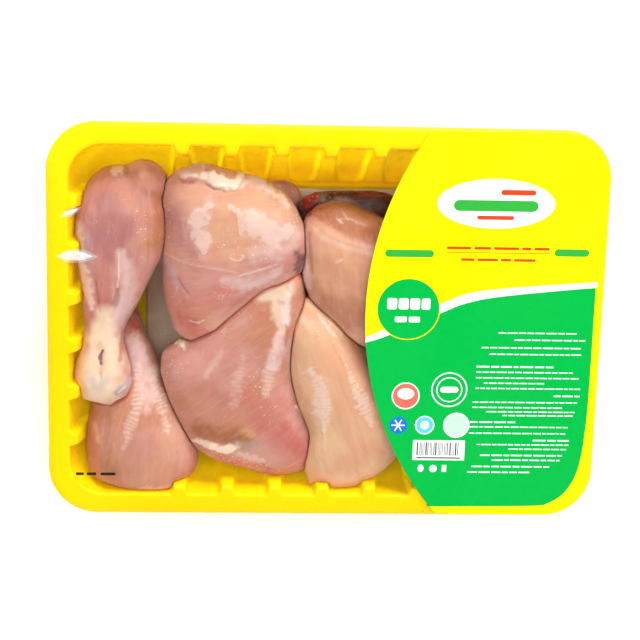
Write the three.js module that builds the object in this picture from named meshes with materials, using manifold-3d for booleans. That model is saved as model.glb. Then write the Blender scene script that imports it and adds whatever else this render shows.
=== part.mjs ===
// A sealed meat tray: a ribbed plastic tray with an absorbent pad, raw skinless
// chicken cuts and the lid film that is welded over the rim. Millimetres, +Z up,
// the origin under the middle of the tray.
import * as THREE from "three";
import { mergeVertices } from "three/addons/utils/BufferGeometryUtils.js";
import Module from "manifold-3d";

const wasm = await Module();
wasm.setup();
const { Manifold, Mesh } = wasm;

// Tray
const trayLength = 270;
const trayWidth = 195;
const trayHeight = 46;
const rimRadius = 24;
const lipDrop = 3.6;
const ribPitch = 23.6;
const ribTopHalf = 2.3;
const ribFootHalf = 5.0;
const pocketSlant = 1.3;
const longRibs = [3, 2, 1];
const shortRibs = [0.5, 1.5, 2.5];
const longPatternEnd = 80;
const shortPatternEnd = 66;
const shortPatternOverrun = 3;
const cornerSteps = 8;

// Pad, film and the clearances that keep the pieces apart
const padLength = 178;
const padWidth = 119;
const padRadius = 5;
const padThickness = 1.3;
const padGap = 0.3;
const floorThickness = 1.0;
const filmThickness = 0.5;
const filmInset = 1.6;
const filmGap = 0.3;
const meatGap = 0.35;
const wallGap = 0.6;

// Rows of the tray's wall from the floor's edge up the inside, over the rim and
// down the outside. Each has its height, how far in from the rim's outline the
// pockets and the ribs stand there, its corner radius, and whether the rib has
// its narrow top (0) or its wide foot (1). A corner inset is given where the
// plain corners differ from the pockets.
const insideRows = [
  { z: floorThickness, pocket: 37.2, rib: 37.2, radius: 12, foot: 1 },
  { z: 2.0, pocket: 35.4, rib: 35.4, radius: 12, foot: 1 },
  { z: 4.0, pocket: 34.0, rib: 34.0, radius: 12, foot: 1 },
  { z: 5.4, pocket: 30.0, rib: 33.0, corner: 32.6, radius: 12.5, foot: 1 },
  { z: 18, pocket: 20.2, rib: 24.2, corner: 20.4, radius: 14.5, foot: 0.72 },
  { z: 30, pocket: 13.6, rib: 17.8, radius: 16, foot: 0.45 },
  { z: 44.4, pocket: 10.8, rib: 14.8, radius: 17, foot: 0.05 },
  { z: trayHeight, pocket: 10.2, rib: 14.2, radius: 17.5, foot: 0 },
];
const outsideRows = [
  { z: trayHeight, pocket: 2.0, rib: 2.0, radius: 22.0, foot: 0 },
  { z: 45.1, pocket: 0.7, rib: 0.7, radius: 23.3, foot: 0 },
  { z: trayHeight - lipDrop, pocket: 0, rib: 0, radius: rimRadius, foot: 0 },
  { z: trayHeight - lipDrop, pocket: 1.1, rib: 1.1, radius: 22.9, foot: 0 },
  { z: 44.9, pocket: 2.3, rib: 2.3, radius: 21.7, foot: 0 },
  { z: 44.9, pocket: 9.2, rib: 13.1, radius: 18.2, foot: 0 },
  { z: 30, pocket: 12.5, rib: 16.7, radius: 17, foot: 0.45 },
  { z: 18, pocket: 19.1, rib: 23.1, corner: 19.3, radius: 15, foot: 0.72 },
  { z: 4.9, pocket: 28.8, rib: 31.8, corner: 31.4, radius: 13, foot: 1 },
  { z: 3.0, pocket: 32.7, rib: 32.7, radius: 13, foot: 1 },
  { z: 0.8, pocket: 34.6, rib: 34.6, radius: 13, foot: 1 },
  { z: 0, pocket: 36.4, rib: 36.4, radius: 12.5, foot: 1 },
];

// Stations of one quarter of the tray, from the middle of the right end round
// the corner to the middle of the back wall.
function quarterStations() {
  const stations = [];
  const addRib = (side, step, order) => {
    const lastStep = Math.max(...(side === "long" ? longRibs : shortRibs));
    for (const [sign, onRib] of order) {
      const plain = step === lastStep && sign > 0 && !onRib;
      stations.push({ side, centre: step * ribPitch, sign, onRib, plain });
    }
  };
  const outward = [[-1, 0], [-1, 1], [1, 1], [1, 0]];
  for (const step of shortRibs) {
    addRib("short", step, outward);
  }
  for (let i = 0; i <= cornerSteps; i += 1) {
    stations.push({ side: "corner", part: i / cornerSteps, plain: true });
  }
  stations.push({ side: "end", plain: true });
  for (const step of longRibs) {
    addRib("long", step, [...outward].reverse());
  }
  addRib("long", 0, [[1, 0], [1, 1]]);
  return stations;
}

function stationPoint(station, row, shrink) {
  const corner = row.corner ?? row.pocket;
  const wall = station.onRib ? row.rib : row.pocket;
  const inset = shrink + (station.plain ? corner : wall);
  const radius = row.radius;
  const halfX = trayLength / 2 - inset;
  const halfY = trayWidth / 2 - inset;
  const middleX = halfX - radius;
  const bareMiddleY = trayWidth / 2 - corner - radius;
  const middleY = bareMiddleY - shrink;
  const squeeze = Math.min(1, (bareMiddleY + shortPatternOverrun) / shortPatternEnd);
  const half = THREE.MathUtils.lerp(ribTopHalf, ribFootHalf, row.foot);
  if (station.side === "corner") {
    const beyond = Math.max(0, shortPatternEnd * squeeze - middleY);
    const start = Math.asin(beyond / radius);
    const angle = THREE.MathUtils.lerp(start, Math.PI / 2, station.part);
    return [middleX + radius * Math.cos(angle), middleY + radius * Math.sin(angle), row.z];
  }
  if (station.side === "end") {
    return [longPatternEnd, halfY, row.z];
  }
  const reach = half + shrink + (station.onRib ? 0 : pocketSlant);
  const along = station.centre + station.sign * reach;
  if (station.side === "long") {
    return [along, halfY, row.z];
  }
  const y = along * squeeze;
  const beyond = Math.max(0, y - middleY);
  return [halfX - radius + Math.sqrt(radius * radius - beyond * beyond), y, row.z];
}

// One closed ring round the tray: the quarter and its three mirror images.
function trayRing(row, shrink) {
  const quarter = quarterStations().map((station) => stationPoint(station, row, shrink));
  const flipped = [...quarter].reverse();
  return [
    ...quarter,
    ...flipped.map(([x, y, z]) => [-x, y, z]),
    ...quarter.map(([x, y, z]) => [-x, -y, z]),
    ...flipped.map(([x, y, z]) => [x, -y, z]),
  ];
}

// A closed surface through rings of equal length, with a pole at either end.
function ringSolid(firstPole, rings, lastPole) {
  const count = rings[0].length;
  const points = [firstPole, ...rings.flat(), lastPole];
  const triangles = [];
  for (let i = 0; i < count; i += 1) {
    const next = (i + 1) % count;
    triangles.push(0, 1 + i, 1 + next);
    for (let row = 0; row + 1 < rings.length; row += 1) {
      const low = 1 + row * count;
      const high = low + count;
      triangles.push(low + i, high + i, high + next);
      triangles.push(low + i, high + next, low + next);
    }
    const last = 1 + (rings.length - 1) * count;
    triangles.push(last + i, points.length - 1, last + next);
  }
  const solid = new Manifold(new Mesh({
    numProp: 3,
    vertProperties: new Float32Array(points.flat()),
    triVerts: new Uint32Array(triangles),
  }));
  if (solid.volume() > 0) {
    return solid;
  }
  const turned = [];
  for (let i = 0; i < triangles.length; i += 3) {
    turned.push(triangles[i], triangles[i + 2], triangles[i + 1]);
  }
  return new Manifold(new Mesh({
    numProp: 3,
    vertProperties: new Float32Array(points.flat()),
    triVerts: new Uint32Array(turned),
  }));
}

function traySolid() {
  const rings = [...insideRows, ...outsideRows].map((row) => trayRing(row, 0));
  return ringSolid([0, 0, floorThickness], rings, [0, 0, 0]);
}

// The room inside the tray that the meat may fill, clear of the wall, the pad
// and the film.
function cavitySolid() {
  const floor = floorThickness + padGap + padThickness + meatGap;
  const top = trayHeight + filmGap - meatGap;
  const first = insideRows[1];
  const last = insideRows[insideRows.length - 1];
  const rows = [{ ...first, z: floor }, ...insideRows.slice(2, -1), { ...last, z: top }];
  const rings = rows.map((row) => trayRing(row, wallGap));
  return ringSolid([0, 0, floor], rings, [0, 0, top]);
}

function roundedSlab(length, width, radius, thickness, z) {
  const shape = new THREE.Shape();
  const x = length / 2 - radius;
  const y = width / 2 - radius;
  shape.absarc(x, y, radius, 0, Math.PI / 2, false);
  shape.absarc(-x, y, radius, Math.PI / 2, Math.PI, false);
  shape.absarc(-x, -y, radius, Math.PI, Math.PI * 1.5, false);
  shape.absarc(x, -y, radius, Math.PI * 1.5, Math.PI * 2, false);
  const slab = new THREE.ExtrudeGeometry(shape, {
    depth: thickness, bevelEnabled: false, curveSegments: 10,
  });
  slab.translate(0, 0, z);
  return slab;
}

// Value of a smooth curve through evenly spaced controls, open or closed.
function smoothAt(values, place, closed) {
  const count = values.length;
  const at = (i) => {
    const index = closed ? (i + count * 2) % count : Math.min(count - 1, Math.max(0, i));
    return values[index];
  };
  const low = Math.floor(place);
  const t = place - low;
  const [a, b, c, d] = [at(low - 1), at(low), at(low + 1), at(low + 2)];
  const bend = 2 * a - 5 * b + 4 * c - d;
  return b + 0.5 * t * (c - a + t * (bend + t * (3 * (b - c) + d - a)));
}

const signedPower = (value, power) => Math.sign(value) * Math.abs(value) ** power;

// A joint of meat along a spine. Each row of the spine holds x, y, z, half the
// width and half the height; squareness above 2 flattens the section's sides.
const limbSides = 20;
const limbStations = 18;
const limbPole = 1.2;

function limb({ spine, squareness }, grow) {
  const rings = [];
  const centres = [];
  for (let i = 0; i <= limbStations; i += 1) {
    const place = (i / limbStations) * (spine.length - 1);
    const read = (column) => smoothAt(spine.map((row) => row[column]), place, false);
    centres.push([read(0), read(1), read(2), read(3) + grow, read(4) + grow]);
  }
  centres.forEach(([x, y, z, halfWidth, halfHeight], i) => {
    const before = centres[Math.max(0, i - 1)];
    const after = centres[Math.min(limbStations, i + 1)];
    const run = Math.hypot(after[0] - before[0], after[1] - before[1]);
    const acrossX = -(after[1] - before[1]) / run;
    const acrossY = (after[0] - before[0]) / run;
    const ring = [];
    for (let side = 0; side < limbSides; side += 1) {
      const angle = (side / limbSides) * Math.PI * 2;
      const across = halfWidth * signedPower(Math.cos(angle), 2 / squareness);
      const up = halfHeight * signedPower(Math.sin(angle), 2 / squareness);
      ring.push([x + acrossX * across, y + acrossY * across, z + up]);
    }
    rings.push(ring);
  });
  const pole = (here, inner) => {
    const length = Math.hypot(here[0] - inner[0], here[1] - inner[1]);
    const step = (limbPole + grow) / length;
    return [0, 1, 2].map((axis) => here[axis] + (here[axis] - inner[axis]) * step);
  };
  const first = pole(centres[0], centres[1]);
  const last = pole(centres[limbStations], centres[limbStations - 1]);
  return ringSolid(first, rings, last);
}

// A rounded joint on a free outline: radii are read at even angles from +X
// round the centre, at the height where the piece is widest.
const pillowSides = 32;
const pillowRows = 10;

function pillow({ centre, radii, bottom, widest, top, lean = [0, 0], blunt = 0.6 }, grow) {
  const rings = [];
  for (let row = 1; row < pillowRows; row += 1) {
    const rise = (row / pillowRows - 0.5) * Math.PI;
    const height = Math.sin(rise);
    const spread = Math.cos(rise) ** blunt;
    const reach = (height > 0 ? top - widest : widest - bottom) + grow;
    const ring = [];
    for (let side = 0; side < pillowSides; side += 1) {
      const angle = (side / pillowSides) * Math.PI * 2;
      const place = (side / pillowSides) * radii.length;
      const radius = (smoothAt(radii, place, true) + grow) * spread;
      ring.push([
        centre[0] + radius * Math.cos(angle) + lean[0] * height,
        centre[1] + radius * Math.sin(angle) + lean[1] * height,
        widest + reach * height,
      ]);
    }
    rings.push(ring);
  }
  const low = [centre[0] - lean[0], centre[1] - lean[1], bottom - grow];
  const high = [centre[0] + lean[0], centre[1] + lean[1], top + grow];
  return ringSolid(low, rings, high);
}

// A lump with its own half sizes, such as a knuckle or a flap of trim.
const lumpSides = 14;
const lumpRows = 9;

function lump({ centre, size }, grow) {
  const ball = new THREE.SphereGeometry(1, lumpSides, lumpRows);
  ball.deleteAttribute("normal");
  ball.deleteAttribute("uv");
  ball.scale(...size.map((half) => half + grow));
  ball.translate(...centre);
  const merged = mergeVertices(ball);
  return new Manifold(new Mesh({
    numProp: 3,
    vertProperties: merged.attributes.position.array,
    triVerts: new Uint32Array(merged.index.array),
  }));
}

const upperDrumstick = {
  squareness: 2.7,
  spine: [
    [-100, 72, 27, 6.5, 7],
    [-100, 69, 26.8, 12.5, 12.5],
    [-100, 58, 26.6, 20.2, 18],
    [-101.5, 38, 26.6, 22, 18.9],
    [-103.7, 21, 28, 17.3, 16.8],
    [-106.5, 6, 30.5, 12.3, 12.6],
    [-108, -5, 32.5, 8.8, 9.6],
    [-109, -15, 33.5, 9.8, 9.6],
    [-109, -26, 34.4, 13, 10.4],
    [-109.5, -34, 34.4, 12.8, 10.6],
    [-110.5, -41, 33.8, 8.2, 7.6],
  ],
  lumps: [
    { centre: [-89.5, 65.6, 27], size: [11.2, 10.6, 15] },
    { centre: [-116.5, -32.5, 35], size: [5.8, 8.6, 8.4] },
    { centre: [-100.4, -32.5, 35], size: [5.0, 8.2, 8.2] },
  ],
};
const lowerDrumstick = {
  squareness: 2.5,
  spine: [
    [-99, 1, 12, 4, 4.6],
    [-98.6, -6, 13.5, 6.6, 8],
    [-97.4, -14, 15.5, 8.2, 10.5],
    [-95.6, -24, 18, 12, 13.4],
    [-95.6, -34, 20.5, 16, 16.4],
    [-94.4, -46, 22.8, 20.4, 18.8],
    [-93.2, -58, 24.5, 25, 19.8],
    [-91, -69, 26, 27.2, 19.2],
    [-88.2, -79, 28.5, 26.6, 16.4],
    [-88.4, -87, 32.5, 16.4, 10],
  ],
};
const upperThigh = {
  centre: [-47, 33.8],
  radii: [36.8, 37, 38, 37.6, 38.6, 45, 45.8, 34.8, 32.6, 35.2, 43, 51, 36.4, 28.6, 28.5, 35.2],
  bottom: 2.6, widest: 30, top: 44.6, lean: [1, 2],
  lumps: [
    { centre: [-22.5, 57.2, 10.5], size: [9.5, 7.2, 7.5] },
    { centre: [-58, 69.5, 35], size: [15, 5, 5.5] },
  ],
};
const lowerThigh = {
  centre: [-40, -35.6],
  radii: [26.3, 26, 35.7, 68, 50, 38, 36, 43, 37.5, 35.2, 36.9, 39, 40.6, 48.8, 52.4, 33],
  bottom: 2.6, widest: 32, top: 42.6, lean: [-1, -2],
};
const teardropBreast = {
  centre: [12, -42],
  radii: [37, 34, 28.6, 27, 34.6, 56.5, 40, 29, 23.6, 22, 25.6, 47, 45.6, 41.3, 37.5, 38],
  bottom: 2.6, widest: 34, top: 44.4, lean: [-1, -3],
};
const halfBreast = {
  centre: [17, 22],
  radii: [31, 30, 29, 28.6, 31.2, 37.6, 38.8, 30.6, 28.2, 27, 26.4, 28.4, 34.6, 39, 34, 31],
  bottom: 2.6, widest: 30, top: 43.2, lean: [0, -2],
};
const backTrim = {
  centre: [12, 47],
  radii: [27, 25, 18, 14, 12.6, 13.4, 17, 24, 26, 20, 14, 12, 12, 13, 16, 22],
  bottom: 2.6, widest: 11, top: 18.5, blunt: 0.7,
};

const cavity = cavitySolid();

// Each cut keeps clear of the ones already laid, as they press on each other.
const laid = [];

function lay(name, form, spec, colour, roughness) {
  const build = (grow) => {
    const extra = (spec.lumps ?? []).map((item) => lump(item, grow));
    return Manifold.union([form(spec, grow), ...extra]);
  };
  let solid = Manifold.intersection(build(0), cavity);
  for (const neighbour of laid) {
    solid = Manifold.difference(solid, neighbour.grown);
  }
  const pieces = solid.decompose().sort((a, b) => b.volume() - a.volume());
  laid.push({ name, solid: pieces[0], grown: build(meatGap), colour, roughness });
}

lay("drumstick_upper", limb, upperDrumstick, 0xd79a8a, 0.42);
lay("drumstick_lower", limb, lowerDrumstick, 0xd29d84, 0.42);
lay("thigh_upper", pillow, upperThigh, 0xdba08e, 0.4);
lay("breast_lower", pillow, teardropBreast, 0xdfae88, 0.4);
lay("thigh_lower", pillow, lowerThigh, 0xcf8a78, 0.4);
lay("breast_upper", pillow, halfBreast, 0xd7a084, 0.4);
lay("trim_back", pillow, backTrim, 0x9a6f62, 0.45);

function geometryOf(solid) {
  const { vertProperties, triVerts, numProp } = solid.getMesh();
  const positions = new Float32Array((vertProperties.length / numProp) * 3);
  for (let i = 0; i < positions.length / 3; i += 1) {
    positions.set(vertProperties.subarray(i * numProp, i * numProp + 3), i * 3);
  }
  const geometry = new THREE.BufferGeometry();
  geometry.setAttribute("position", new THREE.BufferAttribute(positions, 3));
  geometry.setIndex(new THREE.BufferAttribute(new Uint32Array(triVerts), 1));
  geometry.computeVertexNormals();
  return geometry;
}

const pack = new THREE.Group();
pack.name = "meat_tray_pack";

function add(name, geometry, look) {
  const mesh = new THREE.Mesh(geometry, new THREE.MeshStandardMaterial({ metalness: 0, ...look }));
  mesh.name = name;
  pack.add(mesh);
}

add("tray", geometryOf(traySolid()), { color: 0xffe000, roughness: 0.35 });
add(
  "soaker_pad",
  roundedSlab(padLength, padWidth, padRadius, padThickness, floorThickness + padGap),
  { color: 0xd8cdb4, roughness: 0.9 },
);
for (const { name, solid, colour, roughness } of laid) {
  add(name, geometryOf(solid), { color: colour, roughness });
}
add(
  "lid_film",
  roundedSlab(
    trayLength - filmInset * 2,
    trayWidth - filmInset * 2,
    rimRadius - filmInset,
    filmThickness,
    trayHeight + filmGap,
  ),
  { color: 0xf4f6f2, roughness: 0.12, transparent: true, opacity: 0.25 },
);

export default pack;
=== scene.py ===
import math

import bmesh
import bpy
import numpy as np
from mathutils import Matrix, Vector
from mathutils.bvhtree import BVHTree
from mathutils.geometry import delaunay_2d_cdt


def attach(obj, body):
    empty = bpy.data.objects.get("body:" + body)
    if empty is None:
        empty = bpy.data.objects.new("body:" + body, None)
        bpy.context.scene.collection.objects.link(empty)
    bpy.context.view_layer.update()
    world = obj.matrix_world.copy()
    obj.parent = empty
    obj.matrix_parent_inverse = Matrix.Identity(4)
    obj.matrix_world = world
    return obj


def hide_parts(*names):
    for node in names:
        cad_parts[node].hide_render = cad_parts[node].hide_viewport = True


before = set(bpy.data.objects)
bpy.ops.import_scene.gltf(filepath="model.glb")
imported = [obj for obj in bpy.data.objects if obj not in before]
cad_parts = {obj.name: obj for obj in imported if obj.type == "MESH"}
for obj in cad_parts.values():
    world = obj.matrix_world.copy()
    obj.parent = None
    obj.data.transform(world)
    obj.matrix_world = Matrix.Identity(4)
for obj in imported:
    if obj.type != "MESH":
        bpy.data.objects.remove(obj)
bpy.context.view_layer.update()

# A sealed meat tray: ribbed yellow plastic, a soaker pad, seven raw chicken
# pieces and a lid film whose right part is printed. Sizes are in millimetres
# here and become metres where a mesh is made.

mm = 0.001
scene = bpy.context.scene
print("frame loaded:", len(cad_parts), "nodes")


# colours and node helpers

def colour(red, green, blue):
    linear = []
    for share in (red / 255, green / 255, blue / 255):
        linear.append(share / 12.92 if share <= 0.04045 else ((share + 0.055) / 1.055) ** 2.4)
    return (*linear, 1.0)


def addNode(tree, kind, inputs=None, **settings):
    node = tree.nodes.new("ShaderNode" + kind)
    for key, value in settings.items():
        setattr(node, key, value)
    for key, value in (inputs or {}).items():
        if isinstance(value, bpy.types.NodeSocket):
            tree.links.new(value, node.inputs[key])
        else:
            node.inputs[key].default_value = value
    return node


def startMaterial(name):
    # an empty material, its tree and the object's own coordinates
    material = bpy.data.materials.new(name)
    material.use_nodes = True
    material.node_tree.nodes.clear()
    place = addNode(material.node_tree, "TexCoord").outputs["Object"]
    return material, material.node_tree, place


def mixColours(tree, factor, first, second):
    inputs = {0: factor, 6: first, 7: second}
    return addNode(tree, "Mix", inputs, data_type="RGBA").outputs[2]


def calculate(tree, operation, first, second=0.5):
    return addNode(tree, "Math", {0: first, 1: second}, operation=operation).outputs[0]


def times(tree, first, second):
    return calculate(tree, "MULTIPLY", first, second)


def plus(tree, first, second):
    return calculate(tree, "ADD", first, second)


def noiseValue(tree, place, scale, detail=3.0, distortion=0.0):
    inputs = {"Vector": place, "Scale": scale, "Detail": detail, "Distortion": distortion}
    return addNode(tree, "TexNoise", inputs).outputs[0]


def stretched(tree, place, scale, turn=0.0):
    # coordinates turned by some degrees, in which a texture is drawn out by this scale
    inputs = {"Vector": place, "Rotation": (0.0, 0.0, math.radians(turn)), "Scale": scale}
    return addNode(tree, "Mapping", inputs, vector_type="TEXTURE").outputs[0]


def remap(tree, value, low, high, outLow=0.0, outHigh=1.0):
    inputs = {
        "Value": value, "From Min": low, "From Max": high,
        "To Min": outLow, "To Max": outHigh,
    }
    return addNode(tree, "MapRange", inputs, interpolation_type="SMOOTHSTEP").outputs[0]


def bumpNormal(tree, height, distance, strength=1.0):
    inputs = {"Height": height, "Distance": distance * mm, "Strength": strength}
    return addNode(tree, "Bump", inputs).outputs[0]


def finishMaterial(material, shader):
    addNode(material.node_tree, "OutputMaterial", {"Surface": shader.outputs[0]})
    return material


# mesh helpers

def smoothShare(low, high, value):
    share = np.clip((value - low) / (high - low), 0, 1)
    return share * share * (3 - 2 * share)


def cloudNoise(places, size, seed):
    # smooth noise from -1 to 1 whose blobs are about this size
    lattice = np.random.default_rng(seed).random((24, 24, 24)) * 2 - 1
    scaled = places / size + 1000.0
    base = np.floor(scaled).astype(int)
    part = scaled - base
    part = part * part * (3 - 2 * part)
    total = np.zeros(len(places))
    for dx in (0, 1):
        for dy in (0, 1):
            for dz in (0, 1):
                weight = np.abs(1 - dx - part[:, 0]) * np.abs(1 - dy - part[:, 1])
                weight = weight * np.abs(1 - dz - part[:, 2])
                total += weight * lattice[
                    (base[:, 0] + dx) % 24, (base[:, 1] + dy) % 24, (base[:, 2] + dz) % 24
                ]
    return total


def makeObject(name, points, faces, materials):
    mesh = bpy.data.meshes.new(name)
    mesh.from_pydata([tuple(value * mm for value in point) for point in points], [], faces)
    mesh.validate()
    piece = bpy.data.objects.new(name, mesh)
    scene.collection.objects.link(piece)
    for material in materials:
        mesh.materials.append(material)
    return piece


def faceOutward(piece):
    shell = bmesh.new()
    shell.from_mesh(piece.data)
    bmesh.ops.recalc_face_normals(shell, faces=shell.faces)
    shell.to_mesh(piece.data)
    shell.free()


def shadeSmooth(mesh):
    mesh.polygons.foreach_set("use_smooth", np.ones(len(mesh.polygons), bool))
    mesh.update()


def applyModifiers(piece):
    evaluated = piece.evaluated_get(bpy.context.evaluated_depsgraph_get())
    mesh = bpy.data.meshes.new_from_object(evaluated)
    piece.modifiers.clear()
    piece.data = mesh
    return mesh


def settle(piece, node):
    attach(piece, "root")
    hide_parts(node)


# camera, floor and light

cameraLook = {
    "place": (-0.0526, 0.21957, 0.86939),
    "right": (0.9983, 0.0271, 0.0525),
    "up": (-0.0129, 0.9669, -0.2550),
    "lens": 99.0,
    "sensor": 36.0,
}


def placeCamera(look):
    data = bpy.data.cameras.new("camera")
    data.lens = look["lens"]
    data.sensor_width = look["sensor"]
    data.clip_start = 0.05
    data.clip_end = 20.0
    camera = bpy.data.objects.new("camera", data)
    scene.collection.objects.link(camera)
    right = Vector(look["right"]).normalized()
    back = right.cross(Vector(look["up"])).normalized()
    up = back.cross(right)
    turn = Matrix((right, up, back)).transposed().to_4x4()
    camera.matrix_world = Matrix.Translation(look["place"]) @ turn
    scene.camera = camera


lightLook = {
    "floorColour": (250, 250, 250), "floorCloud": (235, 236, 238),
    "floorHalf": 8.0, "floorDrop": 0.15,
    "skyStrength": 0.12,
    "exposure": 0.0,
    # name, place, aim, width, height, watts
    "boxes": [
        ("overheadBox", (-0.05, 0.62, 1.50), (0, 0, 0.02), 1.5, 1.0, 14.2),
        ("leftBox", (-1.35, 0.00, 1.05), (0, 0, 0.02), 1.2, 1.2, 11.0),
        ("rightBox", (1.35, 0.10, 1.05), (0, 0, 0.02), 1.2, 1.2, 12.4),
        ("frontBox", (0.15, -1.55, 1.25), (0, 0, 0.02), 1.8, 1.0, 21.4),
        ("backBox", (0.40, 1.50, 0.45), (0.03, 0, 0.02), 1.1, 0.6, 50.0),
    ],
}


def placeLights(look):
    for name, place, aim, width, height, watts in look["boxes"]:
        data = bpy.data.lights.new(name, "AREA")
        data.shape = "RECTANGLE"
        data.size = width
        data.size_y = height
        data.energy = watts
        light = bpy.data.objects.new(name, data)
        scene.collection.objects.link(light)
        light.location = place
        direction = Vector(aim) - Vector(place)
        light.rotation_euler = direction.to_track_quat("-Z", "Y").to_euler()
    world = bpy.data.worlds.new("studio")
    world.use_nodes = True
    world.node_tree.nodes["Background"].inputs[0].default_value = (1, 1, 1, 1)
    world.node_tree.nodes["Background"].inputs[1].default_value = look["skyStrength"]
    scene.world = world
    scene.view_settings.view_transform = "Standard"
    scene.view_settings.exposure = look["exposure"]


def placeFloor(look):
    half = look["floorHalf"] / mm
    signs = ((-1, -1), (1, -1), (1, 1), (-1, 1))
    corners = [(x * half, y * half, -look["floorDrop"]) for x, y in signs]
    material, tree, place = startMaterial("paleFloor")
    cloud = remap(tree, noiseValue(tree, place, 6.0), 0.3, 0.7, 0.0, 0.03)
    base = mixColours(tree, cloud, colour(*look["floorColour"]), colour(*look["floorCloud"]))
    shader = addNode(tree, "BsdfPrincipled", {"Base Color": base, "Roughness": 0.9})
    finishMaterial(material, shader)
    makeObject("floor", corners, [(0, 1, 2, 3)], [material])


placeCamera(cameraLook)
placeLights(lightLook)
placeFloor(lightLook)
print("camera, light and floor placed")


# the tray

trayLook = {
    "length": 270.0, "width": 195.0,
    "ribPitch": 23.6, "ribTopHalf": 2.3, "ribFootHalf": 5.0, "slant": 1.7,
    "longRibs": (70.8, 47.2, 23.6), "longEnd": 80.0,
    "shortRibs": (11.8, 35.4, 59.0), "shortEnd": 66.0, "shortOverrun": 3.0,
    "pocketFoot": 3.9, "pocketCorner": 4.4, "bendReach": 3.0,
    # height, then how far in from the rim's outline the surface stands there
    "insideRib": [(1.0, 37.2), (2.0, 35.4), (4.0, 34.0), (5.4, 33.0), (18, 24.2),
                  (30, 17.8), (44.4, 14.8), (46, 14.2)],
    "insidePocket": [(1.0, 37.2), (2.0, 35.4), (4.0, 31.2), (5.4, 30.0), (18, 20.2),
                     (30, 13.6), (44.4, 10.8), (46, 10.2)],
    "insideCorner": [(1.0, 37.2), (2.0, 35.4), (4.0, 34.0), (5.4, 32.6), (18, 20.4),
                     (30, 13.6), (44.4, 10.8), (46, 10.2)],
    "insideRadius": [(1.0, 12), (4.0, 12), (18, 14.5), (30, 16), (44.4, 17), (46, 17.5)],
    "outsideRib": [(0, 36.4), (0.8, 34.6), (3.0, 32.7), (4.9, 31.8), (18, 23.1),
                   (30, 16.7), (44.9, 13.1)],
    "outsidePocket": [(0, 36.4), (0.8, 34.6), (3.0, 30.2), (4.9, 28.8), (18, 19.1),
                      (30, 12.5), (44.9, 9.2)],
    "outsideCorner": [(0, 36.4), (0.8, 34.6), (3.0, 32.7), (4.9, 31.4), (18, 19.3),
                      (30, 12.5), (44.9, 9.2)],
    "outsideRadius": [(0, 12.5), (3.0, 13), (18, 15), (30, 17), (44.9, 18.2)],
    "ribFoot": [(5.4, 1.0), (18, 0.72), (30, 0.45), (44.4, 0.05), (46, 0.0)],
    "insideHeights": (1.0, 1.25, 1.6, 2.0, 2.6, 3.2, 3.7, 4.1, 4.5, 4.9, 5.3, 5.8, 6.4,
                      7.2, 8.2, 9.4, 11, 13, 15, 17, 19, 21.5, 24, 27, 30, 33, 36, 39,
                      42, 44, 45.1),
    "outsideHeights": (44.9, 43.5, 40, 36, 32, 28, 24, 21, 18, 15, 12.5, 10, 8, 6.8, 5.8,
                       5.0, 4.4, 3.9, 3.4, 3.0, 2.4, 1.6, 0.8, 0.3, 0.0),
    # height, then share of the way from the wall to the lip
    "flange": [(45.6, 0.03), (45.87, 0.07), (46.0, 0.13), (46.0, 0.35), (46.0, 0.6),
               (46.0, 0.85)],
    # height, inset, corner radius
    "lip": [(46.0, 2.6, 21.6), (45.9, 1.7, 22.3), (45.6, 1.0, 23.0), (45.0, 0.45, 23.5),
            (44.1, 0.1, 23.9), (42.6, 0.0, 24.0), (42.4, 0.3, 23.7), (42.4, 0.9, 23.1),
            (42.7, 1.2, 22.8), (44.2, 1.5, 22.5), (44.8, 2.1, 21.9), (44.9, 3.0, 21.0)],
    "plastic": (255, 201, 0), "deep": (255, 196, 0), "worn": (255, 206, 6),
    "cloudScale": 18.0, "scuffScale": 240.0, "scuffStretch": 7.0, "peelScale": 420.0,
}


def alongTable(table, z, reach=0.0):
    # reads a table at one height, or averages it over a span to round its bends
    spots = [z + reach * share for share in (-1, -0.5, 0, 0.5, 1)] if reach else [z]
    rows = np.array(table, float)
    return float(np.mean(np.interp(spots, rows[:, 0], rows[:, 1])))


def quarterStations(look):
    # from the middle of the right end, round the corner, to the middle of the back wall
    half = look["ribPitch"] / 2

    def outward(side, centre, sign, far, last):
        steps = [(side, centre, sign, "rib", share, far) for share in (0.35, 0.75, 1.0)]
        steps += [(side, centre, sign, "slope", share, far) for share in (0.25, 0.5, 0.75, 1.0)]
        ends = (0.2, 0.4, 0.6, 0.8, 1.0) if last else (0.2, 0.4, 0.6, 0.8)
        return steps + [(side, centre, sign, "pocket", share, far) for share in ends]

    stations = []
    for centre in look["shortRibs"]:
        inner = outward("short", centre, -1, half, centre > half)
        stations += inner[::-1] + [("short", centre, 1, "rib", 0.0, half)]
        isLast = centre == look["shortRibs"][-1]
        far = look["shortEnd"] - centre if isLast else half
        stations += outward("short", centre, 1, far, False)
    stations += [("corner", 0, 1, "corner", step / 22, 0) for step in range(23)]
    stations += [("gap", 0, 1, "gap", step / 6, 0) for step in range(1, 7)]
    for centre in look["longRibs"]:
        far = look["longEnd"] - centre if centre == look["longRibs"][0] else half
        outer = outward("long", centre, 1, far, False)
        if centre != look["longRibs"][0]:
            outer = outward("long", centre, 1, far, True)
        stations += outer[::-1] + [("long", centre, 1, "rib", 0.0, half)]
        stations += outward("long", centre, -1, half, False)
    stations += outward("long", 0.0, 1, half, True)[::-1]
    return stations


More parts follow.
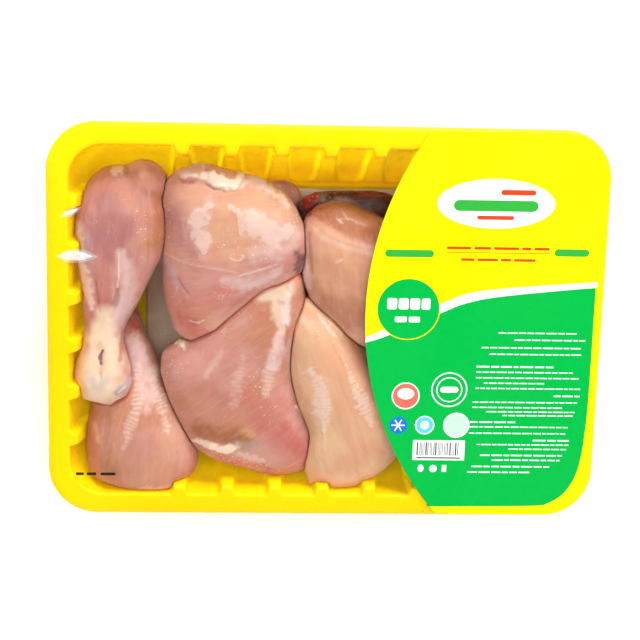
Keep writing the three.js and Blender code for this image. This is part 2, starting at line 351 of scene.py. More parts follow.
def trayPoint(look, station, row):
    side, centre, sign, kind, share, far = station
    z = row["z"]
    ribHalf = look["ribTopHalf"] + (look["ribFootHalf"] - look["ribTopHalf"]) * row["foot"]
    slant = look["slant"]
    reach = {
        "rib": ribHalf * share,
        "slope": ribHalf + slant * share,
        "pocket": ribHalf + slant + (far - ribHalf - slant) * share,
    }.get(kind, 0.0)
    beyondLast = sign > 0 and centre in (look["shortRibs"][-1], look["longRibs"][0])
    edge = -0.15  # the slope starts this little before the rib's own edge
    if side in ("corner", "gap"):
        inset = row["corner"]
    elif beyondLast:
        mask = smoothShare(edge, slant, reach - ribHalf)
        inset = row["rib"] + (row["corner"] - row["rib"]) * mask
    else:
        rounding = look["pocketCorner"]
        away = max(rounding - (reach - ribHalf), 0.0)
        below = max(rounding - (z - row["footLine"]), 0.0)
        mask = smoothShare(edge, slant, rounding - math.hypot(away, below))
        inset = row["rib"] + (row["pocket"] - row["rib"]) * mask
    radius = row["radius"]
    halfX = look["length"] / 2 - inset
    halfY = look["width"] / 2 - inset
    plainX = look["length"] / 2 - row["corner"] - radius
    plainY = look["width"] / 2 - row["corner"] - radius
    squeeze = min(1.0, (plainY + look["shortOverrun"]) / look["shortEnd"])
    if side == "corner":
        start = math.asin(max(0.0, look["shortEnd"] * squeeze - plainY) / radius)
        angle = start + (math.pi / 2 - start) * share
        return plainX + radius * math.cos(angle), plainY + radius * math.sin(angle), z
    if side == "gap":
        return plainX + (look["longEnd"] - plainX) * share, halfY, z
    along = centre + sign * reach
    if side == "long":
        return along, halfY, z
    y = along * squeeze
    beyond = max(0.0, y - plainY)
    return halfX - radius + math.sqrt(radius * radius - beyond * beyond), y, z


def trayRows(look):
    rows = []

    def wallRow(z, kind, footLine):
        names = ("rib", "pocket", "corner", "radius")
        reach = min(look["bendReach"], max(0.0, 0.5 * (z - 5.6)), max(0.0, 44.9 - z))
        row = {name: alongTable(look[kind + name.capitalize()], z, reach) for name in names}
        rows.append({"z": z, "foot": alongTable(look["ribFoot"], z), "footLine": footLine, **row})

    for z in look["insideHeights"]:
        wallRow(z, "inside", look["pocketFoot"])
    wall = rows[-1]
    lipInset, lipRadius = look["lip"][0][1:]
    ends = {"rib": lipInset, "pocket": lipInset, "corner": lipInset, "radius": lipRadius}
    for z, share in look["flange"]:
        row = {name: wall[name] + (end - wall[name]) * share for name, end in ends.items()}
        rows.append({"z": z, "foot": 0.0, "footLine": 0.0, **row})
    for z, inset, radius in look["lip"]:
        row = {"rib": inset, "pocket": inset, "corner": inset, "radius": radius}
        rows.append({"z": z, "foot": 0.0, "footLine": 0.0, **row})
    for z in look["outsideHeights"]:
        wallRow(z, "outside", look["pocketFoot"] - 1.0)
    return rows


def buildTray(look, material):
    stations = quarterStations(look)
    points = [(0.0, 0.0, 1.0)]
    rows = trayRows(look)
    count = len(stations) * 4
    for row in rows:
        quarter = [trayPoint(look, station, row) for station in stations]
        flipped = quarter[::-1]
        points += quarter
        points += [(-x, y, z) for x, y, z in flipped]
        points += [(-x, -y, z) for x, y, z in quarter]
        points += [(x, -y, z) for x, y, z in flipped]
    points.append((0.0, 0.0, 0.0))
    last = len(points) - 1
    faces = []
    for i in range(count):
        following = (i + 1) % count
        faces.append((0, 1 + i, 1 + following))
        for row in range(len(rows) - 1):
            low = 1 + row * count
            high = low + count
            faces.append((low + i, high + i, high + following, low + following))
        bottom = 1 + (len(rows) - 1) * count
        faces.append((bottom + i, last, bottom + following))
    piece = makeObject("tray_shell", points, faces, [material])
    faceOutward(piece)
    shadeSmooth(piece.data)
    return piece


def trayPlastic(look):
    material, tree, place = startMaterial("trayPlastic")
    cloud = remap(tree, noiseValue(tree, place, look["cloudScale"], 2.0), 0.35, 0.7)
    scuffPlace = stretched(tree, place, (1.0, 1.0, look["scuffStretch"]))
    drawn = noiseValue(tree, scuffPlace, look["scuffScale"], 2.0)
    peel = noiseValue(tree, place, look["peelScale"], 1.0)
    base = mixColours(tree, cloud, colour(*look["plastic"]), colour(*look["deep"]))
    worn = remap(tree, drawn, 0.62, 0.85, 0.0, 0.12)
    base = mixColours(tree, worn, base, colour(*look["worn"]))
    height = plus(tree, times(tree, drawn, 0.5), peel)
    shader = addNode(tree, "BsdfPrincipled", {
        "Base Color": base,
        "Roughness": remap(tree, drawn, 0.3, 0.8, 0.26, 0.36),
        "Subsurface Weight": 0.8,
        "Subsurface Radius": (1.0, 1.0, 0.03),
        "Subsurface Scale": 0.004,
        "Specular IOR Level": 0.1,
        "Normal": bumpNormal(tree, height, 0.04, 0.2),
    })
    return finishMaterial(material, shader)


tray = buildTray(trayLook, trayPlastic(trayLook))
settle(tray, "tray")
print("tray built:", len(tray.data.polygons), "faces")


# the soaker pad under the meat

padLook = {
    "length": 178.0, "width": 119.0, "radius": 5.0, "low": 1.35, "high": 2.55,
    "seal": 4.0, "sealDrop": 0.75, "step": 1.4, "dimplePitch": 5.2, "dimple": 0.22,
    "sag": 0.2, "sagSize": 22,
    "cloth": (228, 208, 182), "damp": (206, 166, 136), "stain": (200, 128, 100),
    "fibre": (244, 238, 226), "fibreScale": 1400.0,
}


def buildPad(look, material):
    columns = int(look["length"] / look["step"])
    lines = int(look["width"] / look["step"])
    halfX = look["length"] / 2
    halfY = look["width"] / 2
    radius = look["radius"]
    across, up = np.meshgrid(np.linspace(-1, 1, columns + 1), np.linspace(-1, 1, lines + 1))
    x = across.ravel() * halfX
    y = up.ravel() * halfY
    # pull the grid's corners in onto the rounded outline
    cornerX = np.maximum(np.abs(x) - (halfX - radius), 0)
    cornerY = np.maximum(np.abs(y) - (halfY - radius), 0)
    reach = np.hypot(cornerX, cornerY)
    square = np.maximum(cornerX, cornerY)
    pull = np.where((cornerX > 0) & (cornerY > 0), square / np.maximum(reach, 1e-6), 1.0)
    x = np.sign(x) * (np.abs(x) - cornerX * (1 - pull))
    y = np.sign(y) * (np.abs(y) - cornerY * (1 - pull))
    edge = np.minimum(halfX - np.abs(x), halfY - np.abs(y))
    body = smoothShare(0.0, look["seal"], edge)
    pitch = look["dimplePitch"]
    dimples = np.cos(x / pitch * math.tau) * np.cos(y / pitch * math.tau)
    places = np.stack([x, y, np.zeros_like(x)], 1)
    top = look["high"] - look["sealDrop"] * (1 - body)
    top -= look["dimple"] * body * smoothShare(0.2, 1, dimples)
    top -= look["sag"] * body * (0.5 + 0.5 * cloudNoise(places, look["sagSize"], 5))
    low = np.full_like(x, look["low"])
    points = [tuple(p) for p in np.stack([x, y, top], 1)]
    points += [tuple(p) for p in np.stack([x, y, low], 1)]
    total = len(x)
    faces = []
    width = columns + 1
    for line in range(lines):
        for column in range(columns):
            a = line * width + column
            quad = (a, a + 1, a + width + 1, a + width)
            faces.append(quad)
            faces.append(tuple(total + i for i in quad[::-1]))
    border = list(range(width))
    border += [line * width + columns for line in range(1, lines + 1)]
    border += [lines * width + column for column in range(columns - 1, -1, -1)]
    border += [line * width for line in range(lines - 1, 0, -1)]
    for a, b in zip(border, border[1:] + border[:1]):
        faces.append((a, total + a, total + b, b))
    piece = makeObject("absorbent_pad", points, faces, [material])
    faceOutward(piece)
    shadeSmooth(piece.data)
    return piece


def padCloth(look):
    material, tree, place = startMaterial("padCloth")
    fibre = noiseValue(tree, place, look["fibreScale"], 4.0)
    damp = remap(tree, noiseValue(tree, place, 26.0, 3.0), 0.42, 0.62)
    stain = remap(tree, noiseValue(tree, place, 38.0, 2.0, 0.5), 0.56, 0.7, 0.0, 0.5)
    base = mixColours(tree, damp, colour(*look["cloth"]), colour(*look["damp"]))
    base = mixColours(tree, stain, base, colour(*look["stain"]))
    frayed = remap(tree, fibre, 0.4, 0.75, 0.0, 0.25)
    base = mixColours(tree, frayed, base, colour(*look["fibre"]))
    shader = addNode(tree, "BsdfPrincipled", {
        "Base Color": base,
        "Roughness": remap(tree, damp, 0.0, 1.0, 0.85, 0.5),
        "Normal": bumpNormal(tree, fibre, 0.18, 0.6),
    })
    return finishMaterial(material, shader)


pad = buildPad(padLook, padCloth(padLook))
settle(pad, "soaker_pad")
print("soaker pad built")


# the meat: each cut starts as its solid, is smoothed, then modelled and painted by strokes

tissues = {
    "muscle": (216, 156, 143), "mauve": (192, 126, 124), "rosy": (208, 112, 102),
    "peach": (234, 176, 140), "tan": (205, 138, 104), "brown": (176, 112, 82),
    "pale": (246, 220, 206), "cream": (255, 238, 214), "silver": (240, 210, 206),
    "lavender": (200, 180, 188), "grey": (176, 160, 146), "plum": (112, 66, 78),
    "blood": (196, 36, 34), "beige": (233, 190, 150), "bone": (252, 226, 196),
    "amber": (184, 106, 50),
    "yolk": (244, 196, 110), "shade": (150, 78, 66), "red": (206, 92, 84),
    # gap is painted shade: the warm red laid on where cuts lie close
    "white": (250, 248, 246), "liver": (104, 48, 32), "clot": (62, 22, 18), "gap": (250, 140, 118),
}
fleshShare = 0.75  # how much of the light the paler tissues give back

meatLook = {
    "voxel": 0.7, "smoothing": 34, "swell": 0.75, "lumpSize": 17.0, "lump": 0.5,
    "rippleSize": 6.0, "ripple": 0.16, "pinchSize": 2.4, "pinch": 0.06,
    "reach": 1.6, "leastReach": 0.1, "cutGap": 0.12, "trayGap": 0.25, "ceiling": 46.1,
    "contactNear": 0.4, "gapShadeFar": 2.2, "gapShadeTint": 0.8, "fill": 0.7, "fillReach": 5.0,
    "patchSize": 21, "speckSize": 8, "ribPitch": 2.1, "searchReach": 8.0,
}

fleshLook = {
    "stretch": 8.0, "fibreScale": 620.0, "bundleScale": 210.0, "mottleScale": 90.0,
    "fineScale": 760.0, "veinScale": 75.0, "veinWidth": 0.012, "paintedSheenScale": 420.0,
    "dropScale": 600.0, "fibre": (246, 214, 198), "bundle": (176, 96, 84),
    "vein": (248, 226, 206), "glaze": (243, 215, 205), "dropGlint": (255, 238, 226),
}


def fleshColour(rgb):
    return (*(value * fleshShare for value in colour(*rgb)[:3]), 1.0)


def stroke(tissue, width, path, strength=0.8, soft=0.9, ragged=0.35, lift=0.0, ribs=0.0):
    # a brush stroke on the meat as seen from above; width is half the stroke's breadth
    return {
        "tissue": tissue, "width": width, "path": path, "strength": strength,
        "soft": soft, "ragged": ragged, "lift": lift, "ribs": ribs,
    }


def curvePoints(path):
    knots = np.array([path[0], *path, path[-1]], float)
    if len(path) == 1:
        return np.array([path[0], (path[0][0] + 0.01, path[0][1])], float)
    points = []
    for a, b, c, d in zip(knots, knots[1:], knots[2:], knots[3:]):
        for share in np.linspace(0, 1, 5)[:-1]:
            bend = 2 * a - 5 * b + 4 * c - d
            turn = 3 * (b - c) + d - a
            points.append(b + 0.5 * share * (c - a + share * (bend + share * turn)))
    points.append(knots[-1])
    return np.array(points)


def strokeMask(places, normals, item, seed):
    points = curvePoints(item["path"])
    flat = places[:, :2]
    gap = np.full(len(flat), 1e9)
    along = np.zeros(len(flat))
    run = 0.0
    for start, end in zip(points, points[1:]):
        step = end - start
        length = max(float(np.hypot(*step)), 1e-6)
        share = np.clip(((flat - start) @ step) / length ** 2, 0, 1)
        here = np.linalg.norm(flat - start - share[:, None] * step, axis=1)
        closer = here < gap
        gap[closer] = here[closer]
        along[closer] = run + share[closer] * length
        run += length
    widths = np.atleast_1d(item["width"])
    width = np.interp(along / run, np.linspace(0, 1, len(widths)), widths)
    grainSize = max(1.5, float(widths.max()) * 0.6)
    rough = cloudNoise(places, grainSize, seed)
    rough += 0.6 * cloudNoise(places, grainSize * 0.4, seed + 5)
    edge = gap / width + item["ragged"] * rough
    mask = 1 - smoothShare(1 - item["soft"], 1 + 0.35 * item["soft"], edge)
    mask = mask * smoothShare(-0.2, 0.2, normals[:, 2])
    if item["ribs"] > 0:
        phase = along / meatLook["ribPitch"] + 0.6 * cloudNoise(places, 5.0, seed + 1)
        mask = mask * (1 - item["ribs"] * (0.5 - 0.5 * np.sin(phase * math.tau)))
    return mask


def cadMesh(node):
    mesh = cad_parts[node].data
    places = np.zeros(len(mesh.vertices) * 3)
    mesh.vertices.foreach_get("co", places)
    mesh.calc_loop_triangles()
    triangles = np.zeros(len(mesh.loop_triangles) * 3, int)
    mesh.loop_triangles.foreach_get("vertices", triangles)
    return places.reshape(-1, 3) / mm, triangles.reshape(-1, 3)


def treeOf(nodes):
    places = []
    triangles = []
    shift = 0
    for node in nodes:
        points, corners = cadMesh(node)
        places += [tuple(point) for point in points]
        triangles += [tuple(int(i) + shift for i in corner) for corner in corners]
        shift += len(points)
    return BVHTree.FromPolygons(places, triangles)


def roundedCopy(node, name, voxel, smoothing):
    body = bmesh.new()
    body.from_mesh(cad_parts[node].data)
    bmesh.ops.remove_doubles(body, verts=body.verts, dist=1e-6)
    mesh = bpy.data.meshes.new(name)
    body.to_mesh(mesh)
    body.free()
    piece = bpy.data.objects.new(name, mesh)
    scene.collection.objects.link(piece)
    remesh = piece.modifiers.new("remesh", "REMESH")
    remesh.mode = "VOXEL"
    remesh.voxel_size = voxel * mm
    relax = piece.modifiers.new("relax", "SMOOTH")
    relax.factor = 0.5
    relax.iterations = smoothing
    applyModifiers(piece)
    return piece


def readVertices(mesh, what):
    values = np.zeros(len(mesh.vertices) * 3)
    mesh.vertices.foreach_get(what, values)
    return values.reshape(-1, 3)


def roomTo(tree, spot):
    found = tree.find_nearest(spot, meatLook["searchReach"])
    return found[3] if found[0] is not None else meatLook["searchReach"]


def buildCut(cut):
    look = {**meatLook, **cut}
    node = cut["node"]
    piece = roundedCopy(node, node + "_cut", look["voxel"], look["smoothing"])
    mesh = piece.data
    places = readVertices(mesh, "co") / mm
    normals = readVertices(mesh, "normal")
    seed = cut["seed"]
    push = look["swell"] + look["lump"] * cloudNoise(places, look["lumpSize"], seed)
    push += look["ripple"] * cloudNoise(places, look["rippleSize"], seed + 1)
    push += look["pinch"] * cloudNoise(places, look["pinchSize"], seed + 2)
    cutsTree = treeOf([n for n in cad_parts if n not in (node, "lid_film", "tray")])
    shellTree = treeOf(["tray"])
    ownTree = treeOf([node])
    near = np.array([roomTo(cutsTree, Vector(place)) for place in places])
    # neighbours press together
    push += look["fill"] * (1 - smoothShare(look["contactNear"], look["fillReach"], near))
    flesh, second, gap = (
        np.array(fleshColour(tissues[name])[:3]) for name in (cut["flesh"], cut["second"], "gap")
    )
    cloud = cloudNoise(places, look["patchSize"], seed + 3)
    cloud = cloud + 0.4 * cloudNoise(places, look["speckSize"], seed + 4)
    paint = flesh + (second - flesh) * smoothShare(-0.5, 0.6, cloud)[:, None]
    # fat dulls the grain; glaze is a painted highlight where the film lies on the meat; wet marks
    # drops, painted as small white glints
    films = {name: np.zeros(len(places)) for name in ("fat", "glaze", "wet")}
    bare = np.ones(len(places))  # falls where blood covers the painted gap shade
    for index, values in enumerate(cut["strokes"]):
        item = stroke(*values)
        mask = strokeMask(places, normals, item, seed + 10 + index)
        push += item["lift"] * mask
        tissue = item["tissue"]
        if tissue in films:
            films[tissue] = np.maximum(films[tissue], mask * item["strength"])
            continue
        target = np.array(fleshColour(tissues[tissue])[:3])
        paint += (target - paint) * (mask * item["strength"])[:, None]
        if tissue == "blood":
            bare *= 1 - mask
        if tissue in ("cream", "bone", "pale", "white"):
            films["fat"] = np.maximum(films["fat"], mask * item["strength"])
    moved = places + normals * push[:, None]
    for i, point in enumerate(moved):
        spot = Vector(point)
        foot, normal, _, distance = ownTree.find_nearest(spot)
        if (spot - foot).dot(normal) > 0:
            room = (roomTo(cutsTree, foot) - look["cutGap"]) * 0.5
            room = min(room, roomTo(shellTree, foot) - look["trayGap"])
            allowed = min(look["reach"], max(look["leastReach"], room))
            if distance > allowed:
                moved[i] = foot + (spot - foot) * (allowed / distance)
    moved[:, 2] = np.minimum(moved[:, 2], look["ceiling"])
    # painted shade: the meat is tinted warm red where cuts lie close, standing in for the shade in
    # the gaps between them
    paintedGapShade = 1 - smoothShare(look["contactNear"], look["gapShadeFar"], near)
    paint += (gap - paint) * (paintedGapShade * bare * look["gapShadeTint"])[:, None]
    mesh.vertices.foreach_set("co", (moved * mm).ravel())
    tint = mesh.attributes.new("tissueColour", "FLOAT_COLOR", "POINT")
    tint.data.foreach_set("color", np.hstack([paint, np.ones((len(paint), 1))]).ravel())
    for name, values in films.items():
        mesh.attributes.new(name, "FLOAT", "POINT").data.foreach_set("value", values)
    mesh.materials.append(meatMaterial(cut, fleshLook))
    shadeSmooth(mesh)
    settle(piece, node)
    print(piece.name, "built:", len(mesh.polygons), "faces")


def meatMaterial(cut, look):
    material, tree, place = startMaterial(cut["node"] + "Flesh")
    grainPlace = stretched(tree, place, (look["stretch"], 1.0, 1.0), cut["grain"])
    tissue = addNode(tree, "Attribute", attribute_name="tissueColour").outputs["Color"]
    fat, glaze, wet = (
        addNode(tree, "Attribute", attribute_name=name).outputs["Fac"]
        for name in ("fat", "glaze", "wet")
    )
    fibre = noiseValue(tree, grainPlace, look["fibreScale"], 4.0, 0.3)
    bundle = noiseValue(tree, grainPlace, look["bundleScale"], 2.0, 0.4)
    mottle = noiseValue(tree, place, look["mottleScale"], 3.0, 0.4)
    fine = noiseValue(tree, place, look["fineScale"], 3.0)
    vein = calculate(tree, "SUBTRACT", noiseValue(tree, place, look["veinScale"], 2.0, 1.2))
    vein = remap(tree, calculate(tree, "ABSOLUTE", vein), 0.0, look["veinWidth"], 1.0, 0.0)
    vein = times(tree, vein, remap(tree, mottle, 0.5, 0.65, 0.0, cut["marbling"]))
    base = tissue
    for share, tint in (
        (remap(tree, mottle, 0.38, 0.66, 0.0, 0.3), cut["blush"]),
        (remap(tree, fibre, 0.45, 0.75, 0.0, 0.12), look["fibre"]),
        (remap(tree, bundle, 0.3, 0.5, 0.14, 0.0), look["bundle"]),
        (vein, look["vein"]),
    ):
        base = mixColours(tree, share, base, fleshColour(tint))
    base = mixColours(tree, times(tree, fat, 0.75), base, tissue)
    # the glaze, a painted highlight, has a crisp broken edge that is finer than the mesh
    broken = calculate(tree, "SUBTRACT", noiseValue(tree, place, look["paintedSheenScale"], 4.0, 0.6))
    crisp = remap(tree, plus(tree, glaze, broken), 0.3, 0.7)
    sheen = times(tree, crisp, remap(tree, mottle, 0.3, 0.7, 0.72, 0.48))
    base = mixColours(tree, sheen, base, fleshColour(look["glaze"]))
    # the drops are painted as small pale dots: painted glints
    cells = addNode(tree, "TexVoronoi", {"Vector": place, "Scale": look["dropScale"]})
    dots = remap(tree, cells.outputs["Distance"], 0.18, 0.3, 1.0, 0.0)
    chosen = calculate(tree, "GREATER_THAN", cells.outputs["Color"], 0.45)
    dots = times(tree, dots, times(tree, chosen, wet))
    base = mixColours(tree, times(tree, dots, 0.65), base, fleshColour(look["dropGlint"]))
    height = plus(tree, times(tree, fibre, 0.7), times(tree, fine, 0.5))
    height = plus(tree, height, times(tree, vein, 0.5))
    height = plus(tree, height, times(tree, dots, 2.0))
    shader = addNode(tree, "BsdfPrincipled", {
        "Base Color": base,
        "Roughness": remap(tree, fine, 0.3, 0.7, 0.34, 0.52),
        "Subsurface Weight": 0.8,
        "Subsurface Radius": (1.0, 0.4, 0.25),
        "Subsurface Scale": 0.0032,
        "Specular IOR Level": 0.24,
        "Coat Weight": 0.14,
        "Coat Roughness": 0.18,
        "Normal": bumpNormal(tree, height, 0.22, 0.5),
    })
    return finishMaterial(material, shader)


# a stroke's values are tissue, half width, path, strength, softness, raggedness, lift and ribs

# pale, white and lavender strokes are partly pale tissue and partly painted highlights and
# reflections; shade strokes are painted shade in creases
upperDrumstick = {
    "node": "drumstick_upper", "slot": "dark_meat", "seed": 11,
    "flesh": "muscle", "second": "mauve", "grain": 84, "marbling": 0.3, "blush": (214, 140, 128),
    "strokes": [
        # the tan and amber down the right side are partly the meat's own tone and partly painted
        # yellow bounce light
        ("tan", 7, [(-82, 69.5), (-81, 57.9), (-81.9, 48.1), (-84.7, 39.3)], 0.95),
        ("amber", 5, [(-81, 62), (-81.2, 51), (-83, 41)], 0.45),
        ("tan", 8, [(-106.7, 64), (-97.2, 66.2), (-88.7, 68)], 0.6),
        ("mauve", 6.5, [(-105.6, 59.9), (-102.8, 53.1), (-102.8, 45.4), (-106.2, 39.5)], 0.75),
        ("mauve", 6, [(-114.1, 59.7), (-115.1, 52)], 0.35),
        ("peach", 3.2, [(-97.1, 60), (-91.9, 53.3), (-90.5, 45.1), (-94.3, 37.7)], 0.35),
        ("tan", 3, [(-96.2, 62), (-89.1, 54.3), (-87.1, 44.7)], 0.3),
        ("silver", [3, 5.4, 6, 5, 4], [(-99, 34.7), (-97.1, 25.9), (-96.7, 16), (-99.6, 6),
         (-103.4, -3)], 0.7),
        ("rosy", [2, 3, 3], [(-107.6, 29.7), (-107.7, 18.3), (-108.2, 8.4)], 0.35),
        ("rosy", 2.4, [(-111, 23.2), (-110.1, 10.9), (-108.7, 0.9)], 0.4),
        ("mauve", [1, 1.8, 1.4], [(-101, 16.9), (-102.4, 9), (-104.8, 2)], 0.75, 0.7, 0.4, -0.7),
        ("shade", [0.5, 0.9, 0.7], [(-111.5, 20.7), (-110.6, 11.8), (-109.6, 4.9)], 0.4, 0.8, 0.4,
         -0.6),
        ("pale", [1.8, 3.2, 3, 1.6], [(-117.6, 29.5), (-116.2, 20.7), (-114.4, 11.8), (-113, 6.8)],
         0.75, 0.7, 0.4, 0.4),
        # the lavender and white strokes on the left flank are painted reflection of the film lying
        # over it
        ("lavender", 3.6, [(-118.9, 46.1), (-116.1, 40.3), (-115.2, 32.5)], 0.6),
        ("white", 1.8, [(-119.6, 47.5), (-118.4, 41.6), (-117.2, 35.6)], 0.4, 0.95, 0.5),
        ("pale", 0.45, [(-100.7, 34.7), (-100.5, 26.8), (-101, 17.9)], 0.85, 0.4, 0.2, 0.3),
        ("blood", 1.4, [(-107.4, 74.5), (-105.6, 73.8), (-103.7, 72.9)], 0.85, 0.7, 0.5),
        ("rosy", 1.4, [(-103.7, 73.3), (-100.4, 74.4)], 0.5, 0.8),
        ("cream", 1.9, [(-103.2, 72.2), (-100.4, 72)], 0.85, 0.5, 0.4, 0.7),
        ("peach", 3.2, [(-96.2, 75.2), (-92.4, 75.5), (-89.6, 73.1)], 0.85, 0.7, 0.3, 0.6),
        ("muscle", 4.5, [(-86.3, 76.1), (-82, 74.2), (-79.6, 69)], 0.7, 0.8, 0.3, 0.3),
        ("bone", [6, 8.5, 12, 13, 12], [(-107.2, 2.9), (-108.7, -6.1), (-109.3, -16.7),
         (-109.8, -26.8), (-110.8, -35.5)], 0.95, 0.7, 0.3),
        ("yolk", [1.6, 3, 3, 2.4], [(-116.5, -10.2), (-118.9, -19.3), (-119.5, -28.4),
         (-117.1, -36)], 0.6),
        ("rosy", [0.8, 1.4, 1], [(-100.1, -6), (-99.6, -14), (-100.6, -20.1)], 0.6, 0.8, 0.5, -0.3),
        ("blood", 0.7, [(-101, -12), (-100.6, -16.1)], 0.35, 0.8),
        ("peach", [1.4, 2, 1.6], [(-98.6, -11.5), (-96.7, -19), (-96.2, -26.1)], 0.7),
        ("rosy", 2.2, [(-109.7, -11.6), (-108.3, -17.2), (-108.8, -23.2)], 0.35),
        ("plum", [0.6, 1.2, 0.7], [(-108.5, -14.4), (-109.7, -17.7), (-109, -21)], 0.85, 0.6, 0.4,
         -0.8),
        ("grey", 0.9, [(-109.3, -24.8), (-108.8, -27.3)], 0.55, 0.8),
        ("lavender", 2.8, [(-113.7, -28.9), (-110.8, -31.9), (-106.4, -28.3)], 0.4),
        ("yolk", 2, [(-101.5, -28.2)], 0.35),
        ("lavender", [1.4, 2.3, 1.5], [(-102, -34.9), (-99.6, -33.3), (-96.7, -30.7)], 0.95, 0.3,
         0.2, 0.3),
        # a painted highlight on the grey cartilage cap
        ("pale", 0.5, [(-101.1, -34.6), (-98.2, -32.3)], 0.8, 0.5, 0.3),
        ("pale", 1.4, [(-117.1, -38.6), (-112.3, -39.1), (-107.4, -38)], 0.5, 0.8),
        ("wet", 4, [(-91.4, 57.7), (-89.5, 49.5), (-87.6, 40.7)], 0.9),
        ("wet", 4, [(-109.3, 73.2), (-100.9, 71.5), (-93.3, 74.5)]),
        ("wet", 2.4, [(-78.7, 65.1), (-78.6, 53.1), (-80, 38.4)], 0.7),
    ],
}

lowerDrumstick = {
    "node": "drumstick_lower", "slot": "dark_meat", "seed": 23,
    "flesh": "tan", "second": "muscle", "grain": 78, "marbling": 0.3, "blush": (206, 146, 120),
    "strokes": [
        ("tan", 7, [(-112.4, -45), (-114.4, -55.3), (-114, -66.8)], 0.9),
        ("brown", 2.4, [(-106, -43.9), (-106.1, -60.4), (-108.1, -75)], 0.4, 0.9, 0.3, -0.3),
        ("silver", [4, 6, 7, 6], [(-94.3, -14.2), (-91.4, -21.3), (-88, -30.4), (-86.5, -40.6)],
         0.75, 0.8),
        ("lavender", 3, [(-94.8, -20.3), (-93.3, -27.4)], 0.4),
        ("muscle", 8, [(-95.3, -65.5), (-91.4, -73.9)], 0.4),
        ("peach", 8, [(-77.1, -58.1), (-79.5, -69.6), (-84.4, -78)], 0.45),
        ("brown", [2, 3.4, 3.4], [(-67.8, -60.1), (-63.8, -67.9), (-64.2, -75.7)], 0.4),
        ("mauve", 3, [(-81.7, -23.2), (-76.8, -35.4), (-70.8, -49.7)], 0.35),
        ("rosy", [3, 4, 3.4], [(-97.2, 1.8), (-96.3, -4.2), (-94.3, -9.7)], 0.8, 0.8),
        ("blood", [0.7, 1.2, 0.8], [(-96.7, -3.7), (-94.8, -8.2), (-92.4, -8.7)], 0.6, 0.7, 0.6),
        ("peach", [0.8, 1.2, 0.8], [(-96.7, -12.3), (-93.4, -11.2), (-90, -13.7)], 0.6, 0.6, 0.4,
         0.3),
        ("pale", 1.6, [(-111.9, -54.3), (-110.5, -61.5)], 0.3),
        ("peach", [1.2, 1.8, 1.4], [(-88.9, -84.3), (-82.9, -85.1), (-76.5, -83.7)], 0.75, 0.7, 0.5,
         0.4),
        ("rosy", 1.2, [(-65.7, -77.3), (-62.2, -74.7)], 0.6, 0.8),
        # the two ribbed pale streaks are painted highlights on the wet ridge
        ("pale", [1.4, 2.8, 3.2, 3, 2.4, 1.2], [(-90.9, -25.4), (-92.4, -33.5), (-91.9, -40.7),
         (-93.3, -48.4), (-96.3, -56.2), (-98.2, -63.5)], 0.62, 0.8, 0.6, 0.3, 0.6),
        ("pale", [1.2, 2.4, 3, 2.6, 1.2], [(-84.6, -26.3), (-83.6, -33.4), (-81.6, -40.6),
         (-79.1, -48.8), (-77.1, -57.1)], 0.62, 0.8, 0.6, 0.3, 0.6),
        ("glaze", 0.5, [(-110.5, -55.3), (-111, -62.6), (-110, -68.8)], 0.5, 0.9, 0.6),
        ("wet", 2.6, [(-80.7, -18.1), (-74.8, -34.4), (-67.8, -52.3), (-61.3, -69.4)], 1),
        ("wet", 2.6, [(-95.3, -83.3), (-82.9, -84.8), (-70.6, -81)]),
    ],
}

